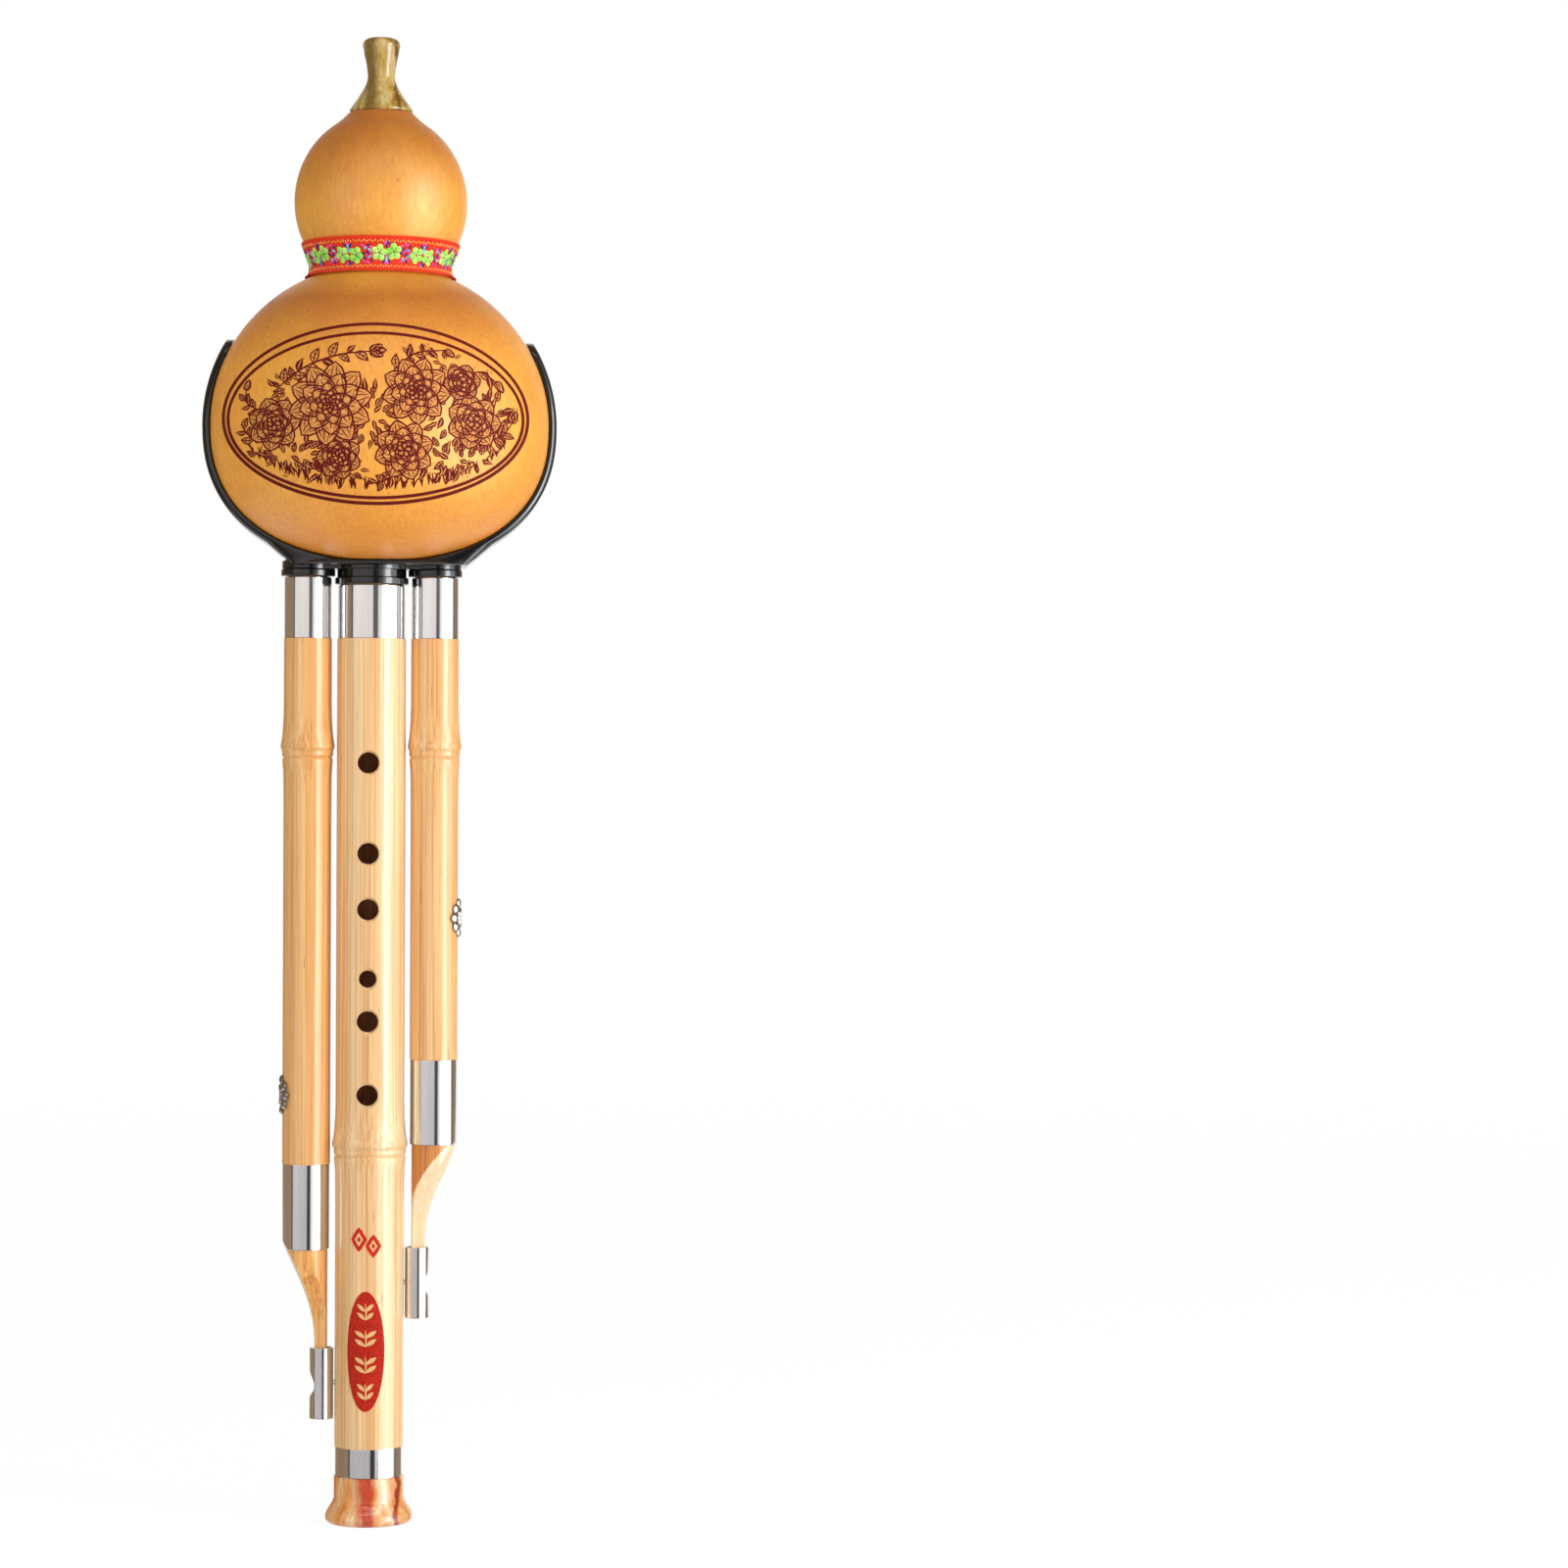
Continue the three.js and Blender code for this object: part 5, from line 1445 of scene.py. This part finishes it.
def make_drone_pipe(name, x, seat, vent_z):
    bamboo, side = DRONES[name]["bamboo"], DRONES[name]["side"]
    bottom, top = ends(f"{name}_drone_pipe")
    sleeve_top = high(f"{name}_lower_ferrule", 2)
    ferrule_low, ferrule_top = ends(f"{name}_top_ferrule")
    node_z = ferrule_low - DRONE_NODE_DROP
    outline = [(DRONE_BORE, bottom), (seat, bottom), (seat, sleeve_top)]
    outline += bamboo_line(DRONE_RADIUS, sleeve_top, ferrule_low, node_z, DRONE_NODE_SWELL)
    outline += [(seat, ferrule_low), (seat, ferrule_top), (DRONE_TENON, ferrule_top)]
    outline += [(DRONE_TENON, top), (DRONE_BORE, top)]
    pipe = turned(f"{name}_drone_bamboo", outline, bamboo, x)
    drill = tube("drill", 0, VENT_RADIUS, *VENT_REACH, BORE, steps=32)
    cut(pipe, [moved(drill, x, 0, vent_z, side * 90, "Y")])

    def choose(centre, normal):
        across, outward = facing(centre, normal, x)
        in_vent = abs(centre.z - vent_z) < VENT_RADIUS + INSIDE_BY and outward < WALL_SIDE
        return BORE if in_vent or across < seat - INSIDE_BY else bamboo

    repaint(pipe, [bamboo, BORE], choose)
    settle(pipe, f"{name}_drone", "pale_bamboo", f"{name}_drone_pipe")


def make_lower_sleeve(name, x, tail_low):
    node = f"{name}_lower_ferrule"
    outer = radius(f"{name}_top_ferrule")  # the lower one is as wide, but the slant cuts into it
    sleeve = tube(f"{name}_lower_sleeve", outer - FERRULE_WALL, outer, *ends(node), CHROME, x, SLEEVE_EDGE)
    d = DRONES[name]
    cut(sleeve, [scarf_tool(-d["side"], d["scarf"], d["turn"], tail_low, x)])
    settle(sleeve, f"{name}_drone", "chrome", node)


def make_tail(name, x, seat, tail_low):
    """A plug with the slanted cut through it, narrowed from front and back to a tongue."""
    d = DRONES[name]
    skin, scarf = d["tail"], d["scarf"]
    sleeve_low, sleeve_top = ends(f"{name}_lower_ferrule")
    plug_top = low(f"{name}_drone_pipe", 2) - GAP
    half, thin = TAIL_RADIUS, TONGUE_HALF
    plug = [(0, tail_low), (half, tail_low), (half, sleeve_low)]
    plug += [(seat, sleeve_low), (seat, plug_top), (0, plug_top)]
    tail = turned(f"{name}_slant_tail", plug, skin, x)
    narrow_z, wide_z = scarf - TONGUE_DROP, scarf - WIDE_DROP
    bends = (thin, narrow_z + TONGUE_BEND), (half, wide_z - WIDE_BEND)
    edge = cubic((thin, narrow_z), *bends, (half, wide_z), 18)
    shape = [(-thin, tail_low - BEYOND), (thin, tail_low - BEYOND), *edge, (half, sleeve_top)]
    shape += [(-half, sleeve_top), *((-y, z) for y, z in reversed(edge))]
    keep = moved(prism("narrow", shape, half + 1, "x", CUT_BAMBOO), x)
    cut(tail, [scarf_tool(-d["side"], scarf, d["turn"], tail_low, x)])
    cut(tail, [keep], "INTERSECT")

    def choose(centre, normal):
        across, outward = facing(centre, normal, x)
        uncut = outward > SKIN and half - across < TAIL_SKIN
        return skin if uncut or abs(normal.y) > NARROWED_SIDE else CUT_BAMBOO

    repaint(tail, [skin, CUT_BAMBOO], choose)
    settle(tail, f"{name}_drone", "tail_bamboo", f"{name}_tail")


PETALS = 10
PETAL_STEPS = 12
FLOWER_RADIUS = 6.2
NOTCH_DEPTH = 0.9
FLOWER_BEND = 10.5

# A fold between two petals: how much of their height it takes, where along them it starts, and how fast it
# grows
FOLD = 0.8
FOLD_START = 0.3
FOLD_GROWTH = 3

# From the hole to the rim and over to the back: share of the way and height
FLOWER_SHAPE = (
    (0.0, 0.05), (0.02, 0.85), (0.10, 1.0), (0.20, 0.9), (0.27, 0.45), (0.36, 0.42),
    (0.5, 0.75), (0.66, 0.9), (0.82, 0.75), (0.94, 0.45), (1.0, 0.1), (0.97, 0.0),
)


def make_rosette(name, x, vent_z):
    """A pressed metal flower, bent less than the pipe is: a raised lip, then petals with creases between."""
    side = DRONES[name]["side"]
    seat = DRONE_RADIUS + GLUE
    steps = PETALS * PETAL_STEPS
    points = []
    for along, lift in FLOWER_SHAPE:
        for i in range(steps):
            angle = 2 * math.pi * i / steps
            notch = abs(math.cos(angle * PETALS / 2))
            edge = FLOWER_RADIUS - NOTCH_DEPTH * (1 - notch)
            fold = FOLD * (1 - notch) ** 2 * min(max((along - FOLD_START) * FOLD_GROWTH, 0), 1)
            across = lerp(VENT_RADIUS, edge, along)
            y, z = across * math.cos(angle), across * math.sin(angle)
            out = math.sqrt((FLOWER_BEND + lift * (1 - fold)) ** 2 - y * y)
            points.append((x + side * (seat - FLOWER_BEND + out), y, vent_z + z))
    faces = ring_faces(steps, len(FLOWER_SHAPE), closed=True)
    flower = mesh_object(f"{name}_flower", points, faces, PRESSED)
    settle(flower, f"{name}_drone", "chrome", f"{name}_rosette")


def make_drone(name):
    x = SOCKETS[name]["x"]
    seat = radius(f"{name}_top_ferrule") - FERRULE_WALL - GLUE
    vent_z = middle(f"{name}_rosette", 2)
    tail_low = low(f"{name}_tail", 2)
    make_drone_pipe(name, x, seat, vent_z)
    make_lower_sleeve(name, x, tail_low)
    make_tail(name, x, seat, tail_low)
    make_ferrule(f"{name}_top_ferrule", f"{name}_drone")
    make_sleeve(f"{name}_cork", CORK, "cork", f"{name}_drone", DRONE_CORK)
    make_rosette(name, x, vent_z)


# Spring clips and their rivets

CLIP_RADIUS = 3.6
CLIP_WALL = 0.55
CLIP_EDGE = 0.2
CLIP_OFF_PIPE = 0.35
SWEEP = (2.6, 6.9)

# The notch has three levels, by their share of the clip's height. Each point is a distance out from the
# clip's side, a level and a rise from it.
NOTCH_LEVELS = (0.28, 0.46, 0.74)
NOTCH_LOW = ((0.3, 0, -1), (-0.1, 0, 2), (-1.5, 1, -2), (-1.5, 1, 0))
NOTCH_HIGH = ((-1.5, 1, 0), (-1.5, 1, 2.4), (-0.1, 2, -3), (0.3, 2, 1))

RIVET_DEPTH = 2
RIVET_SHANK = 0.8
RIVET_HOLE = 0.95
RIVET_HEAD = 1.1
RIVET_CROWN = 0.95
RIVET_HEAD_TALL = 0.4


def make_clip(name):
    """A sheet sleeve beside the melody pipe, open to the back for the tongue, with a notch at its side."""
    node, side = f"{name}_clip", DRONES[name]["side"]
    x, drone_x = PIPE_X + side * (PIPE_RADIUS + CLIP_OFF_PIPE + CLIP_RADIUS), SOCKETS[name]["x"]
    bottom, top = ends(node)
    inner = CLIP_RADIUS - CLIP_WALL
    sleeve = tube(f"{name}_spring_clip", inner, CLIP_RADIUS, bottom, top, CHROME, x, CLIP_EDGE, steps=72)
    sweep = tube("sweep", *SWEEP, bottom - BEYOND, top + BEYOND, CHROME, drone_x)
    reach, past = SWEEP[1] + CLIP_RADIUS, BEYOND + 1
    behind = block("behind", drone_x - reach, drone_x + reach, bottom - past, top + past, reach / 2, CHROME)
    cut(sweep, [moved(behind, 0, reach / 2)], "INTERSECT")
    cut(sleeve, [sweep])

    def at(out, level, rise):
        return (x + side * (CLIP_RADIUS + out), lerp(bottom, top, NOTCH_LEVELS[level]) + rise)

    notch = [at(BEYOND, *NOTCH_LOW[0][1:]), *cubic(*(at(*point) for point in NOTCH_LOW), 12)]
    notch += [*cubic(*(at(*point) for point in NOTCH_HIGH), 12)[1:], at(BEYOND, *NOTCH_HIGH[-1][1:])]
    cut(sleeve, [prism("notch", notch, CLIP_RADIUS, "y", CHROME)])
    z = (bottom + top) / 2
    hole = tube("drill", 0, RIVET_HOLE, -RIVET_DEPTH, RIVET_DEPTH, CHROME, steps=24)
    cut(sleeve, [moved(hole, PIPE_X + side * PIPE_RADIUS, 0, z, 90, "Y")])
    settle(sleeve, "melody_pipe", "chrome", node)
    make_rivet(name, side, z)


def make_rivet(name, side, z):
    """A shank through the pipe's wall and a domed head inside the clip."""
    node = f"{name}_clip_rivet"
    start, end = PIPE_RADIUS - RIVET_DEPTH, abs((high if side > 0 else low)(node, 0) - PIPE_X)
    under, shoulder = end - RIVET_HEAD_TALL, end - RIVET_HEAD_TALL / 2
    outline = [(0, start), (RIVET_SHANK, start), (RIVET_SHANK, under), (RIVET_HEAD, under)]
    outline += curve((RIVET_HEAD, shoulder), (RIVET_CROWN, end), (0, end), 5)
    rivet = turned(f"{name}_rivet", outline, CHROME, steps=32)
    settle(moved(rivet, PIPE_X, 0, z, side * 90, "Y"), "melody_pipe", "chrome", node)


# The seal and the key mark on the melody pipe

SEAL_X = -1.1
SEAL_Z = 52.8
SEAL_HALF = (5.9, 18.1)
SEAL_LIFT = 0.05
PALE_LIFT = 0.1
PALE_CROWN = 0.03
SPRIG = ((0, -2.6), (0.25, 0), (0, 2.4))
SPRIG_LINE = 0.5
LEAF_PAIRS = (2.5, 3.3, 3.3, 2.5)
LEAF_PITCH = 8
LEAF_ROOTS = (-2.4, 0.1)
LEAF_RISE = 2.2
LEAF_BENDS = ((0.3, 2.2), (0.8, 0.2))
MARK_LIFT = 0.07
MARK_LINE = 1.1
DIAMONDS = ((-3.2, 86.6, 3.2), (1.2, 84.6, 3.0))
DIAMOND_WIDTH = 0.62
DIAMOND_CORE = 0.3


def make_seal():
    """A red oval with pairs of pale leaves up its middle."""
    seal = Relief(on_melody_pipe)
    seal.patch(oval(SEAL_X, SEAL_Z, *SEAL_HALF, 96), SEAL_LIFT, rings=6)
    seal.lay("oval_seal", SEAL_INK, "melody_pipe", "pale_bamboo")
    pale = Relief(on_melody_pipe)
    for k, wide in enumerate(LEAF_PAIRS):
        z = SEAL_Z + LEAF_PITCH * (k - 1.5)
        pale.stroke([(SEAL_X + x, z + rise) for x, rise in SPRIG], SPRIG_LINE, PALE_LIFT)
        for out in (-wide, wide):
            for root_z in (z + rise for rise in LEAF_ROOTS):
                root, tip = (SEAL_X, root_z), (SEAL_X + out, root_z + LEAF_RISE)
                upper, lower = (
                    curve(root, (SEAL_X + out * share, root_z + rise), tip, 8) for share, rise in LEAF_BENDS
                )
                pale.patch(upper + lower[-2:0:-1], PALE_LIFT, PALE_CROWN)
    pale.lay("seal_sprig", SEAL_PALE, "melody_pipe", "pale_bamboo")


def make_key_mark():
    """Two outlined diamonds, each with a small solid one inside."""
    mark = Relief(on_melody_pipe)
    for x, z, size in DIAMONDS:
        wide = size * DIAMOND_WIDTH
        corners = [(x - wide, z), (x, z + size), (x + wide, z), (x, z - size)]
        diamond = [
            (lerp(ax, bx, share), lerp(az, bz, share))
            for (ax, az), (bx, bz) in zip(corners, corners[1:] + corners[:1]) for share in shares(4)[:-1]
        ]
        mark.stroke(diamond, MARK_LINE, MARK_LIFT, loop=True)
        core = [(lerp(x, px, DIAMOND_CORE), lerp(z, pz, DIAMOND_CORE)) for px, pz in corners]
        mark.patch(core, MARK_LIFT, rings=0)
    mark.lay("key_mark", MARK_INK, "melody_pipe", "pale_bamboo")


# The frame's own nodes that stay: the reeds inside the gourd

def dress_reeds():
    for name in ("main", "left", "right"):
        for part, material in (("tube", BRASS), ("plate", REED), ("tongue", REED)):
            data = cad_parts[f"{name}_reed_{part}"].data
            data.materials.clear()
            data.materials.append(material)


# Studio, in metres

FLOOR_HALF = 6.0
FLOOR_NEAR, FLOOR_FAR = 0.3, 2.2
FLOOR_TONE = 0.86
FLOOR_WHITE_SHARE = 0.86
FLOOR_WHITE = 1.07
CARD_LOW, CARD_HIGH = -0.15, 0.45
AIM = Vector((0, 0, 0.24))
AMBIENT = 0.42


def around(degrees, distance, z=0.0):
    """A place round the object: 0 is on the camera's side and 90 is to its right."""
    angle = math.radians(degrees)
    return Vector((distance * math.sin(angle), -distance * math.cos(angle), z))


def bare_nodes(owner):
    nodes = Nodes(owner)
    nodes.tree.nodes.clear()
    return nodes


def seen_directly(nodes):
    """1 for the camera, reflections and rays that pass through, and 0 for the light that falls on things."""
    path = nodes.tree.nodes.new("ShaderNodeLightPath").outputs
    sharp = nodes.maths("MAXIMUM", path["Is Camera Ray"], path["Is Glossy Ray"])
    return nodes.maths("MAXIMUM", sharp, path["Is Transmission Ray"])


def show(nodes, kind, shader):
    out = nodes.tree.nodes.new(f"ShaderNodeOutput{kind}")
    nodes.tree.links.new(shader, out.inputs["Surface"])


def make_panel(name, corners, material):
    mesh = bpy.data.meshes.new(name)
    mesh.from_pydata(corners, [], [[0, 1, 2, 3]])
    mesh.materials.append(material)
    return new_object(name, mesh)


def make_floor():
    """White as the camera sees it, with a share of plain paint near the object, which takes its shadow."""
    material = bpy.data.materials.new("floor_white")
    f = bare_nodes(material)
    away = f.add("VectorMath", "Value", {0: f.add("TexCoord", "Object", {})}, operation="LENGTH")
    white = f.spread(away, FLOOR_NEAR, FLOOR_FAR, FLOOR_WHITE_SHARE, 1.0)
    share = f.maths("MULTIPLY", seen_directly(f), white)
    strength = f.spread(away, FLOOR_NEAR, FLOOR_FAR, FLOOR_WHITE, 1.0)
    paint = f.add("BsdfDiffuse", "BSDF", {"Color": (FLOOR_TONE, FLOOR_TONE, FLOOR_TONE, 1)})
    glow = f.add("Emission", "Emission", {"Color": (1, 1, 1, 1), "Strength": strength})
    show(f, "Material", f.add("MixShader", "Shader", {0: share, 1: paint, 2: glow}))
    half = FLOOR_HALF
    corners = [(-half, -half, 0), (half, -half, 0), (half, half, 0), (-half, half, 0)]
    floor = make_panel("floor", corners, material)
    floor.visible_glossy = False


def hang_card(name, corners, tone, low_tone):
    """A card that only reflections see. Its tone changes with the height."""
    material = bpy.data.materials.new(name)
    f = bare_nodes(material)
    height = f.add("SeparateXYZ", "Z", {0: f.add("TexCoord", "Object", {})})
    colour = f.mix(f.spread(height, CARD_LOW, CARD_HIGH), (*low_tone, 1), (*tone, 1))
    show(f, "Material", f.add("Emission", "Emission", {"Color": colour}))
    card = make_panel(name, corners, material)
    card.visible_camera = False
    card.visible_diffuse = False
    card.visible_shadow = False


# Name, place and width in degrees, tones above and below, distance, bottom and top. They draw the lighter and
# darker lines in the chrome.
CARDS = (
    ("card_stripe", 13, 17, (0.16, 0.15, 0.15), (0.05, 0.045, 0.045), 1.55, -0.6, 2.4),
    ("card_left_front", -32, 72, (1.08, 1.01, 0.97), (0.62, 0.59, 0.61), 1.6, -0.4, 1.0),
    ("card_front_high", -20, 110, (0.30, 0.21, 0.14), (0.30, 0.21, 0.14), 1.5, 0.95, 2.6),
    ("card_front_low", -20, 110, (0.30, 0.21, 0.14), (0.30, 0.21, 0.14), 1.5, -1.5, -0.35),
    ("card_left_line", -70, 6, (0.03, 0.028, 0.026), (0.03, 0.028, 0.026), 1.55, -0.6, 2.4),
    ("card_left_wall", -116, 86, (0.36, 0.25, 0.16), (0.36, 0.25, 0.16), 1.6, -0.6, 2.4),
    ("card_right_wall", 122, 44, (0.34, 0.25, 0.17), (0.34, 0.25, 0.17), 1.6, -0.6, 2.4),
    ("card_right_line", 101, 6, (0.05, 0.045, 0.04), (0.05, 0.045, 0.04), 1.55, -0.6, 2.4),
    ("card_right_glow", 62, 52, (2.6, 2.6, 2.7), (4.6, 4.9, 5.4), 1.9, -1.4, 1.3),
)
CEILING = [(-3, -3, 2.6), (3, -3, 2.6), (3, 3, 2.6), (-3, 3, 2.6)]
CEILING_TONE = (0.36, 0.26, 0.16)

# Name, place, width, height and power
LAMPS = (
    ("key", around(55, 1.6, 0.3), 0.55, 1.3, 22.5),
    ("fill", around(-42, 2.2, 0.3), 1.4, 1.4, 15.5),
    ("top", Vector((0.15, -1.0, 1.35)), 1.6, 0.2, 4),
)


def make_cards():
    for name, degrees, wide, tone, low_tone, distance, bottom, top in CARDS:
        centre = around(degrees, distance)
        side = around(degrees + 90, distance * math.tan(math.radians(wide / 2)))
        ends_below = [(*(centre + side * k).xy, bottom) for k in (-1, 1)]
        ends_above = [(*(centre + side * k).xy, top) for k in (1, -1)]
        hang_card(name, ends_below + ends_above, tone, low_tone)
    hang_card("card_ceiling", CEILING, CEILING_TONE, CEILING_TONE)


def make_lamps():
    for name, place, wide, tall, power in LAMPS:
        data = bpy.data.lights.new(name, "AREA")
        data.shape = "RECTANGLE"
        data.size = wide
        data.size_y = tall
        data.energy = power
        lamp = new_object(name, data)
        lamp.location = place
        lamp.rotation_euler = (AIM - place).to_track_quat("-Z", "Y").to_euler()


def make_world():
    """Plain white behind everything, and a dimmer even light on the part."""
    world = bpy.data.worlds.new("studio")
    bpy.context.scene.world = world
    f = bare_nodes(world)
    strength = f.spread(seen_directly(f), 0.0, 1.0, AMBIENT, 1.0)
    light = f.add("Background", "Background", {"Color": (1, 1, 1, 1), "Strength": strength})
    show(f, "World", light)


PHOTO_SIZE = 1600
OBJECT_PIXEL_X = 386.5
MM_PER_PIXEL = 0.2975
LENS = 100.0
SENSOR = 36.0
EYE_Z = 0.2243
ROLL = 0.22


def make_camera():
    """Level with the middle of the photograph, turned so that the object stands left of it, and rolled."""
    depth = MM_PER_PIXEL * MM * PHOTO_SIZE * LENS / SENSOR
    aside = (PHOTO_SIZE / 2 - OBJECT_PIXEL_X) / PHOTO_SIZE * SENSOR / LENS
    yaw = math.atan(aside)
    data = bpy.data.cameras.new("camera")
    data.lens = LENS
    data.sensor_width = SENSOR
    camera = new_object("camera", data)
    camera.location = (0, -depth / math.cos(yaw), EYE_Z)
    level = Matrix.Rotation(-yaw, 3, "Z") @ Matrix.Rotation(math.pi / 2, 3, "X")
    camera.rotation_euler = (level @ Matrix.Rotation(math.radians(ROLL), 3, "Z")).to_euler()
    bpy.context.scene.camera = camera


make_gourd()
make_drawing()
make_dressed_ribbon()
make_cradle()
make_socket("main", MAIN_NECK)
make_socket("left")
make_socket("right")
make_mouthpiece()
make_main_pipe()
make_bell()
make_ferrule("main_bottom_ferrule", "melody_pipe")
make_ferrule("main_top_ferrule", "melody_pipe")
make_sleeve("main_cork", CORK, "cork", "melody_pipe", PIPE_CORK)
make_drone("left")
make_drone("right")
make_clip("left")
make_clip("right")
make_seal()
make_key_mark()
dress_reeds()

make_floor()
make_cards()
make_world()
make_lamps()
make_camera()
bpy.context.scene.view_settings.view_transform = "Standard"
